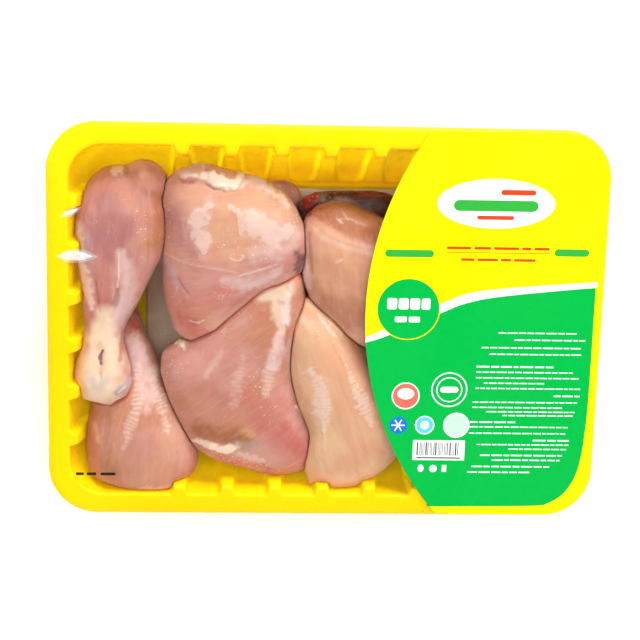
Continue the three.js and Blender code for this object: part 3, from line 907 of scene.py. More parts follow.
upperThigh = {
    "node": "thigh_upper", "slot": "dark_meat", "seed": 37,
    "flesh": "muscle", "second": "peach", "grain": 8, "marbling": 0.45, "blush": (216, 142, 128),
    "strokes": [
        ("mauve", 6.5, [(-75.3, 54.6), (-72.4, 45.9), (-68.5, 37.1)], 0.6),
        ("mauve", 5, [(-69.5, 41), (-62.7, 33.3)], 0.5),
        ("rosy", 9, [(-72.2, 11.4), (-61.5, 8.5), (-51, 12.7)], 0.5),
        ("rosy", 8, [(-68.2, 0.5), (-61.4, -4.5)], 0.9),
        ("peach", 6.5, [(-71.5, 62.4), (-57.3, 64.1), (-43.1, 62.4)], 0.6),
        ("beige", 6, [(-50.1, 54), (-48.5, 43.8), (-46, 34.5)], 0.55),
        ("beige", 5, [(-32.5, 61.1), (-23.9, 56.4), (-16, 47.8)], 0.45),
        ("mauve", [4, 5, 4], [(-35.3, 30.8), (-25.7, 30.9), (-17.6, 32)], 0.5),
        ("silver", [3, 4.5, 4, 2], [(-49.2, 21.2), (-40.5, 19.3), (-31.8, 21.9), (-23.2, 27)], 0.65,
         0.8),
        ("rosy", [2, 3, 2.4], [(-46.1, 9.3), (-39.4, 14.3), (-31.7, 17.9)], 0.4),
        ("lavender", [1.4, 2.6, 1.4], [(-77.5, 30.1), (-75.1, 23.2), (-72.2, 16.9)], 0.65),
        ("mauve", [0.4, 0.8, 0.4], [(-72.2, 21.8), (-69.3, 16.9), (-66.4, 13.5)], 0.6, 0.8, 0.3,
         -0.3),
        # a thin pale line and a short pale streak: painted reflection of the film and a painted
        # highlight
        ("pale", 0.5, [(-78, 32.6), (-66.5, 29.3), (-54.5, 27.5), (-44.4, 25.7)], 0.3, 0.7, 0.3,
         0.2),
        ("pale", [0.4, 0.7, 0.4], [(-43.9, 23.7), (-34.8, 26.8), (-25.2, 29.9)], 0.6, 0.6, 0.4,
         0.2),
        ("plum", [3, 4.8, 3.6], [(-14.7, 34.5), (-13.9, 29.6), (-15.5, 24.6)], 0.85, 0.95, 0.5,
         -0.4),
        ("tan", 2.4, [(-14.3, 54.6), (-12.5, 43.9)], 0.4),
        ("rosy", 1.4, [(-71.1, 68.6), (-65.9, 68.5)], 0.65, 0.7, 0.4, -0.6),
        # a painted highlight line above the red line
        ("pale", [0.7, 1.1, 0.8], [(-71.1, 71.1), (-67.4, 71.6), (-63.6, 71.2)], 0.75, 0.6, 0.5,
         0.4),
        ("muscle", 2.6, [(-72.6, 73.4), (-66, 74.5)], 0.6, 0.8),
        ("cream", [1.8, 2.6, 2], [(-64.6, 76), (-61.3, 76.5), (-58.4, 76.1)], 0.8, 0.5, 0.5, 0.8),
        ("peach", 2, [(-58.4, 73.7), (-55.6, 75.2)], 0.7, 0.8),
        ("cream", [1.6, 3, 3.2, 2.8, 1.6], [(-60.7, 71.7), (-56.5, 70.4), (-51.7, 68.5),
         (-46.9, 67.6), (-43.2, 69.6)], 0.92, 0.4, 0.45, 1.1),
        ("cream", [1.8, 2.4, 1.6], [(-44.1, 70.6), (-40.8, 73), (-38, 73.6)], 0.85, 0.5, 0.5, 0.9),
        ("shade", 0.8, [(-58.8, 67.4), (-55.5, 66), (-50.7, 65.2)], 0.4, 0.8, 0.5, -0.5),
        ("shade", 0.9, [(-58.9, 73.2), (-57.9, 70.3)], 0.5, 0.8, 0.5, -0.6),
        ("tan", [2, 2.8, 2.4], [(-37.5, 71.2), (-33.6, 68.8), (-29.3, 66.5)], 0.6, 0.8),
        ("cream", [1.2, 1.8, 1.6, 1], [(-32.6, 66.4), (-26.9, 63.6), (-23, 60.3), (-20.5, 56.5)],
         0.6, 0.6, 0.6, 0.4),
        ("brown", [3, 4, 3], [(-25, 67), (-21.2, 65.2), (-17.8, 61.8)], 0.65, 0.8),
        ("rosy", 1.6, [(-26.9, 66.5), (-25.4, 63.7)], 0.55, 0.8),
        ("pale", 0.45, [(-66.3, 1), (-62.9, 0), (-59.5, 1.6)], 0.6, 0.5, 0.4, 0.2),
        ("pale", [2, 3, 2.6, 2], [(-71.6, 72), (-66, 73.1), (-60.3, 72.2), (-55.5, 69.9)], 0.55,
         0.9, 0.5, 0.3),
        ("pale", [0.5, 0.9, 0.6], [(-70.7, 69.9), (-65.5, 71.2), (-59.3, 69.8), (-54.5, 67),
         (-48.8, 65.2)], 0.8, 0.6, 0.6, 0.5),
        ("rosy", [0.6, 1, 0.6], [(-70.2, 68.2), (-66.9, 68.7), (-63.6, 69.3)], 0.5, 0.8, 0.5, -0.3),
        ("pale", [1, 1.6, 1.2], [(-43.1, 65.8), (-39.3, 68.7), (-35.5, 68.8), (-31.7, 66.9)], 0.7,
         0.7, 0.6, 0.4),
        ("pale", [2.4, 3, 2], [(-38.4, 70.2), (-34.1, 67.9), (-29.8, 64.5)], 0.5, 0.9, 0.5, 0.2),
        # the two broad pale strokes are painted highlight that softens the edges of the glaze below
        ("pale", [4, 6, 6.4, 5, 3], [(-57.8, 59.2), (-61, 53.4), (-63.3, 47), (-60.4, 40.7),
         (-60.3, 33.8)], 0.4, 0.95, 0.4),
        ("pale", [7, 12, 12, 7], [(-38.1, 51.3), (-32.3, 46.5), (-26, 43.2), (-19.8, 43.8)], 0.5,
         0.95, 0.4),
        ("silver", [4, 6, 4], [(-35.4, 34.7), (-28.2, 35.8), (-21, 36.9)], 0.5, 0.95, 0.4),
        ("glaze", [2.4, 4, 4.6, 3.6, 1.6], [(-57.7, 58.3), (-61, 53.4), (-63.8, 47), (-60.4, 41.2),
         (-60.4, 34.8)], 0.84, 0.6, 0.55, 0.25),
        ("glaze", [1.2, 2.6, 2.2, 1], [(-48.2, 57.9), (-44.4, 55.1), (-41.9, 50.8), (-42.3, 44.4)],
         0.78, 0.6, 0.6, 0.2),
        ("glaze", [5, 9.4, 9, 4.5], [(-37.2, 51.8), (-32.3, 47), (-26, 43.7), (-21.2, 44.7)], 0.88,
         0.55, 0.45, 0.3),
        ("glaze", [0.3, 0.5, 0.5, 0.3], [(-48.4, 33.5), (-45.5, 32.1), (-42.6, 32.1),
         (-40.7, 34.1)], 0.9, 0.5, 0.4, 0.15),
        ("wet", 5, [(-49.9, 38.9), (-41.7, 35.6), (-32.1, 34.7)], 0.9),
        ("wet", 3, [(-32.6, 65.9), (-24, 61.3), (-18.1, 54.6), (-14, 45.8)], 1),
        ("wet", 3, [(-77.3, 65.2), (-77.2, 53.1), (-77.1, 38.5)]),
        ("wet", 4, [(-69.3, 72.5), (-55, 70.4), (-43.2, 71.5)], 0.7),
    ],
}

lowerThigh = {
    "node": "thigh_lower", "slot": "dark_meat", "seed": 41,
    "flesh": "tan", "second": "muscle", "grain": 38, "marbling": 0.35, "blush": (206, 132, 114),
    "strokes": [
        ("muscle", 10, [(-68.5, -31.7), (-61.1, -39.3), (-51.2, -44.4)], 0.5),
        ("mauve", 5, [(-54.3, -36.7), (-48.3, -40.2)], 0.45),
        ("brown", 3.6, [(-75.9, -20.1), (-76.8, -29.3)], 0.4),
        ("rosy", 7, [(-37.6, -37), (-30.6, -41.6), (-20.7, -43)], 0.5),
        ("rosy", [7, 9, 7], [(-30.4, -51.9), (-19.4, -59.6), (-10.2, -67.9)], 0.75),
        ("red", [3, 5, 4], [(-19.6, -51.3), (-12.4, -61.7), (-8.7, -70)], 0.55),
        ("tan", 7, [(-60.5, -54.7), (-50.7, -55.6), (-41.2, -57.6)], 0.9),
        ("brown", 6, [(-60.5, -55), (-50, -57.4), (-40, -58.4)], 0.9),
        ("yolk", 2.2, [(-39.7, -55.1), (-35.8, -56.7)], 0.5),
        ("amber", 6, [(-60.5, -54.7), (-50, -57), (-40, -58)], 0.4),
        ("cream", [3, 4.6, 4], [(-32.6, 12.2), (-25.4, 14.3), (-17.7, 16.9)], 0.7, 0.8),
        ("peach", 2.6, [(-15.3, 19.9), (-13.3, 15.5)], 0.6, 0.8),
        ("tan", [1.6, 2.2, 2], [(-12.7, 12), (-13.9, 1.9), (-15.7, -6.2)], 0.6),
        ("cream", [3, 4, 3], [(-24.8, 9.8), (-23.2, 2.8), (-22.1, -3.2)], 0.6, 0.8),
        # the white streak in the cream is a painted highlight
        ("white", [2, 3.2, 2.6], [(-19, 13.4), (-19.9, 7.9), (-19.9, 0.3)], 0.62, 0.95, 0.3, 0.3),
        ("silver", [3, 4.6, 3.8], [(-23, -6.3), (-24.3, -14.4), (-26.1, -21.5)], 0.85, 0.6, 0.3,
         0.2),
        ("lavender", [2.4, 3, 2.4], [(-18.5, -9.3), (-17.3, -18.4), (-17.2, -26.5)], 0.4),
        ("shade", [0.4, 0.9, 0.6], [(-20.2, -0.7), (-19.1, -5.2), (-20, -10.8)], 0.35, 0.9, 0.3,
         -0.3),
        ("rosy", [0.6, 0.9, 0.6], [(-31, -21.6), (-32.3, -27.7), (-30.8, -32.8)], 0.4, 0.8),
        ("pale", [1.6, 2.4, 1.6], [(-50.6, -14.7), (-54.4, -20.9), (-58.3, -27)], 0.3),
        ("cream", [1.4, 2.2, 2], [(-63.3, -61.1), (-58.4, -62.3), (-53.9, -63.1)], 0.7, 0.6, 0.5,
         0.4),
        ("cream", [2, 2.8, 1.8], [(-54.4, -63.6), (-48, -64.9), (-42.6, -63)], 0.88, 0.5, 0.5, 0.6),
        ("grey", [2.4, 3.4, 2.4], [(-43.1, -61.4), (-37.1, -62.9), (-32.7, -60.8)], 0.6, 0.8, 0.4,
         0.2),
        ("tan", [1.2, 1.8, 1.4], [(-58.9, -65.2), (-51.9, -67.8), (-45, -69.3)], 0.65, 0.8, 0.5),
        ("silver", [1.6, 2.4, 1.6], [(-42, -66.6), (-36, -68.7), (-30.1, -70.7)], 0.6, 0.7, 0.5,
         0.3),
        ("rosy", 1.3, [(-51.9, -69.6), (-41, -71.9), (-30, -74.4)], 0.55, 0.8),
        ("blood", 0.9, [(-29, -73.3), (-26.5, -75.4)], 0.6, 0.7, 0.6),
        ("brown", 1.6, [(-62.3, -63.7), (-56.9, -66.8)], 0.5, 0.8),
        ("cream", [1.4, 2.6, 1.8], [(-77.4, -13.5), (-73.5, -11.7), (-69.6, -13.4)], 0.88, 0.5, 0.5,
         0.8),
        ("cream", [0.6, 1, 0.6], [(-14.3, -43.5), (-12.3, -46), (-10.7, -48.6)], 0.7, 0.6, 0.5,
         0.4),
        # the two ribbed pale streaks are painted highlights
        ("pale", [3.2, 3.4, 2], [(-26.5, -22.1), (-27.9, -29.2), (-28.8, -36.4)], 0.6, 0.8, 0.5,
         0.2, 0.5),
        ("pale", [2, 3.6, 3.6, 2], [(-39.8, -17.6), (-41.7, -26.3), (-43.5, -35), (-45.3, -42.3)],
         0.42, 0.9, 0.6, 0.2, 0.5),
        ("glaze", 2.2, [(-24.4, -10.3), (-25.7, -18.5)], 0.55, 0.9, 0.5, 0.1),
        ("wet", 3, [(-61.4, -6.3), (-49.3, -1.1), (-37.4, 10.6)], 0.9),
        ("wet", 5, [(-34.3, -26.2), (-30.7, -36.4), (-27.6, -44.1)]),
        ("wet", 5, [(-63.8, -8.8), (-71, -19), (-75.8, -31.8)], 0.7),
        ("wet", 4, [(-60.8, -65.2), (-43.5, -70.3), (-28.5, -75.4)], 1),
    ],
}

lowerBreast = {
    "node": "breast_lower", "slot": "breast_meat", "seed": 53,
    "flesh": "beige", "second": "peach", "grain": 112, "marbling": 0.2, "blush": (234, 188, 148),
    "gapShadeTint": 0.4,
    "strokes": [
        ("tan", [3, 4.5, 5.5, 5], [(9.2, -7.6), (20.1, -23.8), (29.7, -43.2), (35.7, -59.8)], 0.55),
        ("brown", [2, 3, 4, 3.4], [(9.6, -4.6), (20.9, -19.7), (31.5, -39.1), (38.1, -56.7)], 0.55),
        ("beige", [7, 9, 8], [(-11.2, -10.4), (-10.3, -25.7), (-4.6, -38.4)], 0.4),
        ("rosy", 1.5, [(-6.9, 13), (-4.9, 11.3)], 0.45, 0.8),
        ("cream", 3, [(-11, 1.2), (-7, -2.8)], 0.4),
        ("peach", [6, 8, 7], [(7.8, -72.7), (17.7, -71), (27.5, -66.7)], 0.5),
        ("amber", [6, 8, 7], [(7.8, -72), (17.7, -70), (27.5, -65)], 0.16),
        ("tan", 3, [(-13.7, -30.8), (-8.9, -43.6), (-5.1, -56.6)], 0.3),
        # the pale ridge line, the thin line below it and the pale under the glaze are painted
        # highlights
        ("pale", [0.6, 1.2, 0.8], [(-4.2, 3.3), (-0.2, -1.7), (4.3, -6.7)], 0.7, 0.6, 0.4, 0.4),
        ("pale", [0.3, 0.6, 0.3], [(0.5, -54.9), (1, -64.3)], 0.45, 0.8, 0.3, 0.2),
        ("pale", [2, 5, 6, 5, 2], [(-7, -23.6), (-3.9, -27.1), (-1.3, -34.3), (-1, -43.5),
         (0.2, -53.4)], 0.35, 0.95),
        ("glaze", [2, 4.8, 5.4, 4.8, 1.6], [(-7, -23.6), (-3.9, -27.1), (-1.3, -34.3), (-1, -43.5),
         (0.2, -53.4)], 0.8, 0.7, 0.45, 0.3, 0.4),
        ("glaze", [0.4, 0.7, 0.5], [(-10.8, -25.2), (-7, -22), (-3.6, -21)], 0.7, 0.6, 0.5, 0.1),
        ("glaze", [0.7, 1, 3.2, 5, 5, 2], [(7.5, -15.8), (10.1, -20.8), (13.3, -27.9), (17, -35.1),
         (20.7, -42.8), (23.5, -50)], 0.78, 0.7, 0.45, 0.3, 0.42),
        ("wet", 3, [(-14.4, -20.6), (-12.1, -33.4), (-7.8, -48.8)], 0.5),
        ("wet", 4, [(-11.1, 3.2), (-4.1, -2.7), (3, -10.2)], 0.6),
    ],
}

upperBreast = {
    "node": "breast_upper", "slot": "breast_meat", "seed": 67,
    "flesh": "muscle", "second": "peach", "grain": 96, "marbling": 0.2, "blush": (212, 156, 134),
    "smoothing": 14,
    "strokes": [
        ("tan", [4, 6.4, 7.6, 7.6], [(-5.6, 55.5), (2.6, 52.7), (11.4, 49.5), (19.7, 46.2)], 0.9,
         0.35, 0.15, -0.2),
        ("brown", [5, 7, 7.4], [(-2, 55.5), (9, 52.6), (19, 48.8)], 0.85, 0.7),
        ("amber", [4.6, 7, 7.6], [(-1, 53.6), (9, 51), (19, 47.4)], 0.8, 0.6),
        ("peach", [5, 7, 7], [(-3.2, 38.9), (8, 34.1), (19.3, 31.3)], 0.5),
        ("tan", [7, 9, 8], [(0.4, 12.1), (10.4, 4.2), (20.4, -0.7)], 0.9),
        ("brown", [4, 6, 6], [(12, 14.3), (20.1, 6.4), (28.1, 1.5)], 0.45),
        ("pale", [1.6, 2.4, 2.4, 2.4], [(-8.6, 48.1), (-1.6, 43), (8.2, 38.9), (20.4, 36)], 0.3),
        ("tan", [6, 8, 8], [(-4, 30), (6, 24), (17, 20)], 0.45, 0.95),
        ("peach", [0.9, 1.3, 1.3, 1.3], [(-8.8, 50.1), (-2, 45.3), (7.8, 41.1), (20, 38.3)], 0.45,
         0.7, 0.3, 0.2),
        ("silver", [1.3, 1.9, 1.9, 1.4], [(-11.1, 44.7), (-10.8, 34.8), (-10.1, 25), (-8, 17)], 0.8,
         0.6, 0.3, 0.3),
        ("shade", [0.7, 1.1, 0.9], [(-8.9, 43.7), (-8.2, 34.4), (-7.2, 24.5)], 0.35, 0.95, 0.3,
         -0.3),
        ("brown", [5, 8, 8], [(-6, 18), (2, 8), (10, 2)], 0.35, 0.95),
        # three small pale marks are painted highlights
        ("pale", [0.3, 0.6, 0.3], [(3.7, 51.3), (7.1, 48.9)], 0.8, 0.6, 0.4, 0.1),
        ("pale", [0.3, 0.5, 0.3], [(6, 54.8), (9.4, 50.9)], 0.5, 0.8, 0.4),
        ("pale", [0.3, 0.6, 0.3], [(3.8, 31.1), (6.6, 32.6)], 0.6, 0.6, 0.4, 0.1),
        ("blood", [2, 2.8, 1.6], [(-9.4, 52.2), (-6.6, 54.4), (-3.6, 56.8)], 0.9, 0.7, 0.6, 0.3),
        ("blood", 1.2, [(-11.2, 49.1), (-10.6, 45.7)], 0.65, 0.8, 0.5),
        ("cream", 0.9, [(-10.8, 53), (-9.8, 52.1)], 0.6, 0.7, 0.5, 0.2),
        ("wet", 3, [(-11.4, 58.8), (-3.8, 58.5), (4.9, 57.7)], 0.9),
        ("wet", 3, [(-4.4, 9.6), (4.2, 1.1), (11.7, -5.8)], 0.9),
    ],
}

backTrim = {
    "node": "trim_back", "slot": "skin_trim", "seed": 79,
    "flesh": "liver", "second": "clot", "grain": 4, "marbling": 0.0, "blush": (84, 34, 24),
    "smoothing": 16, "lump": 0.5, "ripple": 0.35, "pinch": 0.16,
    "strokes": [
        ("grey", [2, 3, 3], [(-12, 54.5), (-7, 56.4), (-2, 57.4)], 0.55, 0.9, 0.5),
        ("lavender", [1.4, 2.6, 2.4], [(5, 56.6), (9.5, 55.4), (14, 54.4)], 0.4, 0.9, 0.5),
        ("plum", [2.4, 3.6, 3], [(13, 55), (19, 54.4), (25, 53)], 0.5, 0.9, 0.4),
        ("liver", [2, 3, 3], [(22, 55.6), (28, 54.4), (34, 53)], 0.7, 0.9, 0.4),
        ("blood", [0.5, 0.9, 0.8, 0.9, 0.6], [(3.6, 59), (9, 59.9), (16, 59.4), (24, 58.6),
         (32, 57.8)], 0.55, 0.8, 0.8, 0.2),
        ("beige", [2.6, 3.4, 3], [(-14.4, 52), (-13, 56.4), (-9.6, 60.2)], 0.7, 0.8, 0.6),
        ("blood", [2, 3.4, 2], [(-9.6, 53.6), (-7.4, 56), (-5, 58.6)], 0.95, 0.6, 0.5, 0.5),
        ("wet", 3, [(-11, 56), (-3, 58), (6, 58)], 0.9),
    ],
}

cuts = [
    upperDrumstick, lowerDrumstick, upperThigh, lowerThigh, lowerBreast, upperBreast, backTrim,
]
for cut in cuts:
    buildCut(cut)


# the lid film and what is printed on it

filmLook = {
    "length": 266.8, "width": 191.8, "radius": 22.4, "low": 46.42, "high": 46.72,
    "gridStep": 6.0, "wave": 0.06, "waveSize": 34.0,
    "edgeArc": [(42.1, 88.6), (18.5, 5.1), (52.4, -90.5)],
    "swoosh": [(10, -10), (19, -6.5), (28.8, -2.6), (54.7, 9.6), (68.3, 15.2), (87.5, 18.5),
               (131, 22.7)],
    "swooshHalf": [1.3, 1.3, 1.9, 2.35, 2.35, 1.9, 1.3],
    "greenEdge": [(130.3, 22.6), (130.4, 10), (130.4, -36), (129.8, -52), (128.6, -66),
                  (125.8, -77), (120.5, -85.5), (113.4, -90.2), (106, -91.6), (70, -92.2),
                  (30, -92.6)],
    "greenFoot": -92.6,
    "wordShare": 0.4,
    # the word bars of each line: height of the line, left end, right end, size
    "lines": [(-2.1, 84, 124, 1.5), (-5.6, 92, 127, 1.5), (-9.6, 76, 126, 1.5),
              (-12.9, 80, 126, 1.4), (-19.3, 74, 112, 1.9), (-22.1, 74, 122, 1.4),
              (-25.0, 74, 125, 1.4), (-27.7, 78, 108, 1.4), (-30.4, 74, 126, 1.4),
              (-34.1, 113, 126, 1.8), (-37.5, 73, 125, 1.4), (-40.2, 73, 119, 1.4),
              (-42.4, 80, 124, 1.4), (-44.3, 88, 124, 1.4), (-47.8, 72, 96, 1.9),
              (-50.3, 72, 121, 1.4), (-53.6, 72, 120, 1.4), (-57.2, 104, 122, 1.8),
              (-59.5, 76, 122, 1.4), (-61.8, 92, 121, 1.4), (-65.1, 78, 119, 1.7),
              (-67.6, 84, 118, 1.6), (-71.0, 74, 113, 1.7), (-74.0, 72, 104, 1.6)],
    # ink, kind, then for a disc: middle, half width, half height and points; for a bar: ends,
    # height of its middle, thickness and rounding; for a block: ends, low, high
    "upperMarks": [
        ("yellow", "disc", 39.3, 9.3, 15.5, 15.5, 56),
        ("green", "disc", 39.3, 9.3, 15.05, 15.05, 56),
        ("white", "bar", 28.9, 33.7, 11.9, 5.6, 0.35),
        ("white", "bar", 34.5, 39.3, 11.9, 5.6, 0.35),
        ("white", "bar", 40.1, 44.9, 11.9, 5.6, 0.35),
        ("white", "bar", 45.7, 49.9, 11.9, 5.6, 0.35),
        ("white", "bar", 32.9, 38.7, 4.1, 2.8, 0.5), ("white", "bar", 39.7, 45.1, 4.1, 2.8, 0.5),
        ("white", "disc", 79.5, 61.8, 28.5, 12.1), ("leaf", "bar", 59.0, 100.0, 60.8, 5.4),
        ("red", "bar", 81.5, 98.5, 67.4, 2.6), ("red", "bar", 70.5, 88.5, 55.0, 2.0),
        ("leaf", "bar", 26.9, 50.6, 36.9, 3.6), ("leaf", "bar", 109, 126, 38.3, 3.6),
        ("red", "words", 56.7, 106.4, 40, 3.4), ("red", "block", 56.7, 106.4, 37.6, 37.95),
        ("red", "words", 63.8, 100, 34.3, 3.2),
    ],
    "lowerMarks": [
        ("white", "disc", 39.7, -34.7, 6.9, 6.9), ("coral", "disc", 39.7, -34.7, 6.3, 6.3),
        ("white", "disc", 39.7, -33.6, 4.2, 2.9, 24),
        ("white", "disc", 61.1, -31.3, 8.9, 8.9), ("green", "disc", 61.1, -31.3, 8.3, 8.3),
        ("white", "disc", 61.1, -31.3, 6.4, 6.4), ("green", "disc", 61.1, -31.3, 5.9, 5.9),
        ("white", "bar", 56.6, 65.6, -31.3, 3.0), ("blue", "disc", 36.6, -49.9, 4.5, 4.5),
        ("white", "star", 36.6, -49.9, 3.3, 0.3),
        ("white", "disc", 49.7, -49.7, 4.8, 4.8), ("sky", "disc", 49.7, -49.7, 4.2, 4.2),
        ("white", "disc", 49.7, -49.7, 2.2, 2.2, 20),
        ("white", "disc", 65.4, -49.6, 6.5, 6.5), ("mist", "disc", 65.4, -49.6, 5.6, 5.6),
        ("white", "block", 44.3, 70.1, -67.9, -57.5),
        ("black", "stripes", 46.2, 67.6, -65.4, -58.6),
        ("black", "bar", 46.2, 68.2, -66.7, 0.7), ("white", "disc", 48.6, -72.2, 1.5, 1.9, 16),
        ("white", "disc", 54.8, -72.3, 1.9, 1.9, 20), ("white", "block", 59.2, 61.4, -74.0, -70.4),
        ("black", "words", -121.5, -111.6, -76.5, 3.2),
        ("black", "words", -109.4, -101.4, -76.5, 3.2),
    ],
    # painted glints at the left edge, where the film pulls over the lip: white patches that stand
    # in for light caught in its creases
    "glintPatches": [
        ("glintHalo", [(-130.1, 33.1), (-125.8, 35.8), (-120.6, 36.6), (-114.9, 35.7), (-110.2, 32.9),
                  (-115, 30.9), (-120.7, 29.8), (-126.3, 30.2)]),
        ("glint", [(-128.7, 33.1), (-125.3, 34.9), (-121.1, 35.6), (-116.8, 34.9), (-112.6, 33.1),
                   (-116.4, 31.8), (-120.6, 31), (-125.4, 31.4)]),
        ("glintHalo", [(-128, 51.8), (-126.1, 54.7), (-122.3, 56.7), (-118.1, 56.8), (-120, 54.3),
                  (-123.3, 52.1)]),
        ("glint", [(-126.8, 52.8), (-124.9, 54.6), (-121.8, 55.8), (-119.5, 56.1),
                   (-120.9, 54.5), (-123.8, 53.1)]),
    ],
    "glintShares": {"glintHalo": 0.12, "glint": 0.6},
    "inks": {
        "yellow": (240, 222, 0), "green": (0, 164, 62), "white": (238, 240, 238),
        "red": (206, 62, 28), "leaf": (48, 158, 56), "coral": (216, 100, 82),
        "blue": (24, 108, 188), "sky": (80, 188, 204), "black": (34, 30, 28),
        "mist": (178, 216, 190),
    },
    "tint": (0.985, 0.985, 0.98, 1.0),
}


def arcThrough(first, middle, last, count, reach):
    # a circle through three points, run on past both ends by a share of its length
    (ax, ay), (bx, by), (cx, cy) = first, middle, last
    d = 2 * (ax * (by - cy) + bx * (cy - ay) + cx * (ay - by))
    aa, bb, cc = ax * ax + ay * ay, bx * bx + by * by, cx * cx + cy * cy
    x = (aa * (by - cy) + bb * (cy - ay) + cc * (ay - by)) / d
    y = (aa * (cx - bx) + bb * (ax - cx) + cc * (bx - ax)) / d
    radius = math.hypot(ax - x, ay - y)
    start = math.atan2(ay - y, ax - x) % math.tau
    end = math.atan2(cy - y, cx - x) % math.tau
    extra = (end - start) * reach
    angles = np.linspace(start - extra, end + extra, count)
    return [(x + radius * math.cos(a), y + radius * math.sin(a)) for a in angles]


def disc(x, y, halfWidth, halfHeight, count=40):
    turns = [i / count * math.tau for i in range(count)]
    return [(x + halfWidth * math.cos(t), y + halfHeight * math.sin(t)) for t in turns]


def bar(left, right, y, height, rounding=1.0):
    # a bar with rounded ends; a smaller rounding leaves squarer corners
    half = height / 2
    radius = min(half * rounding, 0.45 * (right - left))
    points = []
    for sideX, sideY, start in ((1, -1, -90), (1, 1, 0), (-1, 1, 90), (-1, -1, 180)):
        centreX = (right if sideX > 0 else left) - radius * sideX
        centreY = y + half * sideY - radius * sideY
        for step in range(4):
            angle = math.radians(start + step * 30)
            points.append((centreX + radius * math.cos(angle), centreY + radius * math.sin(angle)))
    return points


def block(left, right, low, high):
    return [(left, low), (right, low), (right, high), (left, high)]


def star(x, y, reach, half):
    # three thin bars through one middle
    bars = []
    for turn in (0, 60, 120):
        dx, dy = math.cos(math.radians(turn)), math.sin(math.radians(turn))
        bars.append([
            (x + end * reach * dx - side * half * dy, y + end * reach * dy + side * half * dx)
            for end, side in ((1, 1), (-1, 1), (-1, -1), (1, -1))
        ])
    return bars


def words(generator, left, right, y, height):
    # a printed line as small bars of uneven length, with no letters in it
    bars = []
    x = left
    while x < right - height:
        length = min(right - x, height * generator.uniform(1.1, 3.6))
        bars.append(bar(x, x + length, y, height * filmLook["wordShare"], 0.5))
        x += length + height * 0.45
    return bars


def stripes(generator, left, right, low, high):
    bars = []
    x = left
    while x < right:
        width = generator.choice([0.3, 0.45, 0.7])
        bars.append(block(x, x + width, low, high))
        x += width + generator.choice([0.35, 0.5, 0.8])
    return bars


def printShapes(look):
    # ink and outline of every printed shape; a later one covers those before it
    generator = np.random.default_rng(4)
    single = {"disc": disc, "bar": bar, "block": block}
    drawn = {"words": words, "stripes": stripes}
    arc = arcThrough(*look["edgeArc"], 60, 0.08)
    shapes = [*look["glintPatches"], ("yellow", arc + [(200, -120), (200, 120)])]
    swoosh = curvePoints(look["swoosh"])
    halves = np.interp(np.linspace(0, 1, len(swoosh)), np.linspace(0, 1, 7), look["swooshHalf"])
    upper = [(float(x), float(y + h)) for (x, y), h in zip(swoosh, halves)]
    lower = [(float(x), float(y - h)) for (x, y), h in zip(swoosh, halves)]
    foot = look["greenFoot"]
    leftEdge = [point for point in arc if foot < point[1] < lower[0][1] + 4]
    green = [point for point in lower if leftEdge[0][0] - 0.5 < point[0] < 130.2]
    edge = [(float(x), float(y)) for x, y in curvePoints(look["greenEdge"])]
    green += edge[1:] + [(leftEdge[-1][0], foot)] + leftEdge[::-1]
    inLabel = [i for i, point in enumerate(swoosh) if 18.6 < point[0] < 132]
    band = [upper[i] for i in inLabel] + [lower[i] for i in inLabel[::-1]]
    shapes += [("green", green), ("white", band)]
    lines = [("white", "words", left, right, y, size) for y, left, right, size in look["lines"]]
    for ink, kind, *values in look["upperMarks"] + lines + look["lowerMarks"]:
        if kind in single:
            shapes.append((ink, single[kind](*values)))
        elif kind == "star":
            shapes += [(ink, outline) for outline in star(*values)]
        else:
            shapes += [(ink, outline) for outline in drawn[kind](generator, *values)]
    return shapes


def roundedOutline(length, width, radius, count=14):
    points = []
    for signX, signY, start in ((1, 1, 0), (-1, 1, 90), (-1, -1, 180), (1, -1, 270)):
        for step in range(count + 1):
            angle = math.radians(start + 90 * step / count)
            points.append((
                signX * (length / 2 - radius) + radius * math.cos(angle),
                signY * (width / 2 - radius) + radius * math.sin(angle),
            ))
    return points


def clipped(outline, look):
    # keeps an outline within the film's box and runs it anticlockwise
    halfX = look["length"] / 2
    halfY = look["width"] / 2
    points = [(min(max(x, -halfX), halfX), min(max(y, -halfY), halfY)) for x, y in outline]
    turning = sum(a[0] * b[1] - b[0] * a[1] for a, b in zip(points, points[1:] + points[:1]))
    return points if turning > 0 else points[::-1]


def insideFilm(x, y, look, margin):
    radius = look["radius"]
    dx = max(abs(x) - (look["length"] / 2 - radius), 0.0)
    dy = max(abs(y) - (look["width"] / 2 - radius), 0.0)
    return math.hypot(dx, dy) < radius - margin


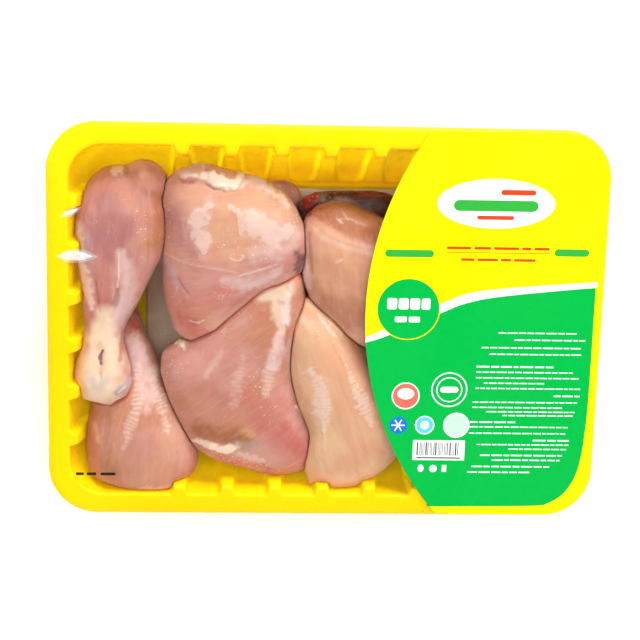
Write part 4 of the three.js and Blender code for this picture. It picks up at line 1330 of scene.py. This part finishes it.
def buildFilm(look, materials):
    shapes = printShapes(look)
    outline = roundedOutline(look["length"], look["width"], look["radius"])
    points = [Vector(point) for point in outline]
    faces = [list(range(len(outline)))]
    for _, shape in shapes:
        shape = clipped(shape, look)
        faces.append(list(range(len(points), len(points) + len(shape))))
        points += [Vector(point) for point in shape]
    generator = np.random.default_rng(9)
    step = look["gridStep"]
    for x in np.arange(-look["length"] / 2, look["length"] / 2, step):
        for y in np.arange(-look["width"] / 2, look["width"] / 2, step):
            place = (x + generator.uniform(-1, 1), y + generator.uniform(-1, 1))
            if insideFilm(*place, look, 2.0):
                points.append(Vector(place))
    spots, _, triangles, _, _, owners = delaunay_2d_cdt(points, [], faces, 0, 1e-4)
    inks = [ink for ink, _ in shapes]
    names = ["clear", *look["glintShares"], *look["inks"]]
    keptFaces = []
    keptInks = []
    for triangle, owner in zip(triangles, owners):
        if 0 not in owner:
            continue
        last = max(owner)
        keptFaces.append(list(triangle))
        keptInks.append(names.index(inks[last - 1]) if last > 0 else 0)
    flat = np.array([(spot.x, spot.y, 0.0) for spot in spots])
    flat[:, 2] = look["high"] + look["wave"] * cloudNoise(flat, look["waveSize"], 3)
    piece = makeObject("lid_film_sheet", [tuple(point) for point in flat], keptFaces, materials)
    piece.data.polygons.foreach_set("material_index", keptInks)
    shell = bmesh.new()
    shell.from_mesh(piece.data)
    loose = [vertex for vertex in shell.verts if not vertex.link_faces]
    bmesh.ops.delete(shell, geom=loose, context="VERTS")
    bmesh.ops.dissolve_degenerate(shell, edges=shell.edges, dist=1e-8)
    for face in shell.faces:
        if face.normal.z < 0:
            face.normal_flip()
    shell.to_mesh(piece.data)
    shell.free()
    thicken = piece.modifiers.new("thickness", "SOLIDIFY")
    thicken.thickness = (look["high"] - look["low"]) * mm
    thicken.offset = -1
    applyModifiers(piece)
    return piece


def clearFilm(look):
    material, tree, place = startMaterial("clearFilm")
    crease = noiseValue(tree, place, 16.0, 2.0, 0.6)
    fine = noiseValue(tree, place, 160.0, 2.0)
    normal = bumpNormal(tree, plus(tree, crease, times(tree, fine, 0.05)), 1.2, 0.25)
    clear = addNode(tree, "BsdfTransparent", {"Color": look["tint"]}).outputs[0]
    shine = addNode(tree, "BsdfGlossy", {
        "Color": (1, 1, 1, 1), "Roughness": 0.08, "Normal": normal,
    }).outputs[0]
    # the same on both faces of the thin sheet, so it stays clear at a low angle
    facing = addNode(tree, "LayerWeight", {"Blend": 0.5, "Normal": normal}).outputs["Facing"]
    share = plus(tree, times(tree, calculate(tree, "POWER", facing, 4.0), 0.4), 0.012)
    return finishMaterial(material, addNode(tree, "MixShader", {0: share, 1: clear, 2: shine}))


def paintedGlintFilm(look, name):
    # film painted white where a crease catches the light: a painted glint
    material, tree, place = startMaterial(name + "Film")
    share = look["glintShares"][name]
    streak = noiseValue(tree, place, 260.0, 3.0, 0.5)
    clear = addNode(tree, "BsdfTransparent", {"Color": look["tint"]}).outputs[0]
    glintWhite = addNode(tree, "BsdfPrincipled", {
        "Base Color": (0.86, 0.86, 0.86, 1.0), "Roughness": 0.3,
        "Normal": bumpNormal(tree, streak, 0.4, 0.5),
    }).outputs[0]
    factor = remap(tree, streak, 0.3, 0.6, share * 0.6, share)
    return finishMaterial(material, addNode(tree, "MixShader", {0: factor, 1: clear, 2: glintWhite}))


def printedInk(look, name):
    material, tree, place = startMaterial(name + "Ink")
    lay = remap(tree, noiseValue(tree, place, 300.0, 3.0), 0.4, 0.75, 0.0, 0.25)
    cloud = noiseValue(tree, place, 22.0, 2.0)
    rgb = look["inks"][name]
    base = mixColours(tree, lay, colour(*rgb), colour(*(value * 0.9 for value in rgb)))
    shader = addNode(tree, "BsdfPrincipled", {
        "Base Color": base,
        "Roughness": remap(tree, cloud, 0.3, 0.7, 0.28, 0.4),
        "Specular IOR Level": 0.12,
        "Normal": bumpNormal(tree, cloud, 0.8, 0.2),
    })
    return finishMaterial(material, shader)


filmMaterials = [clearFilm(filmLook)]
filmMaterials += [paintedGlintFilm(filmLook, name) for name in filmLook["glintShares"]]
filmMaterials += [printedInk(filmLook, name) for name in filmLook["inks"]]
film = buildFilm(filmLook, filmMaterials)
settle(film, "lid_film")
print("lid film built:", len(film.data.polygons), "faces")
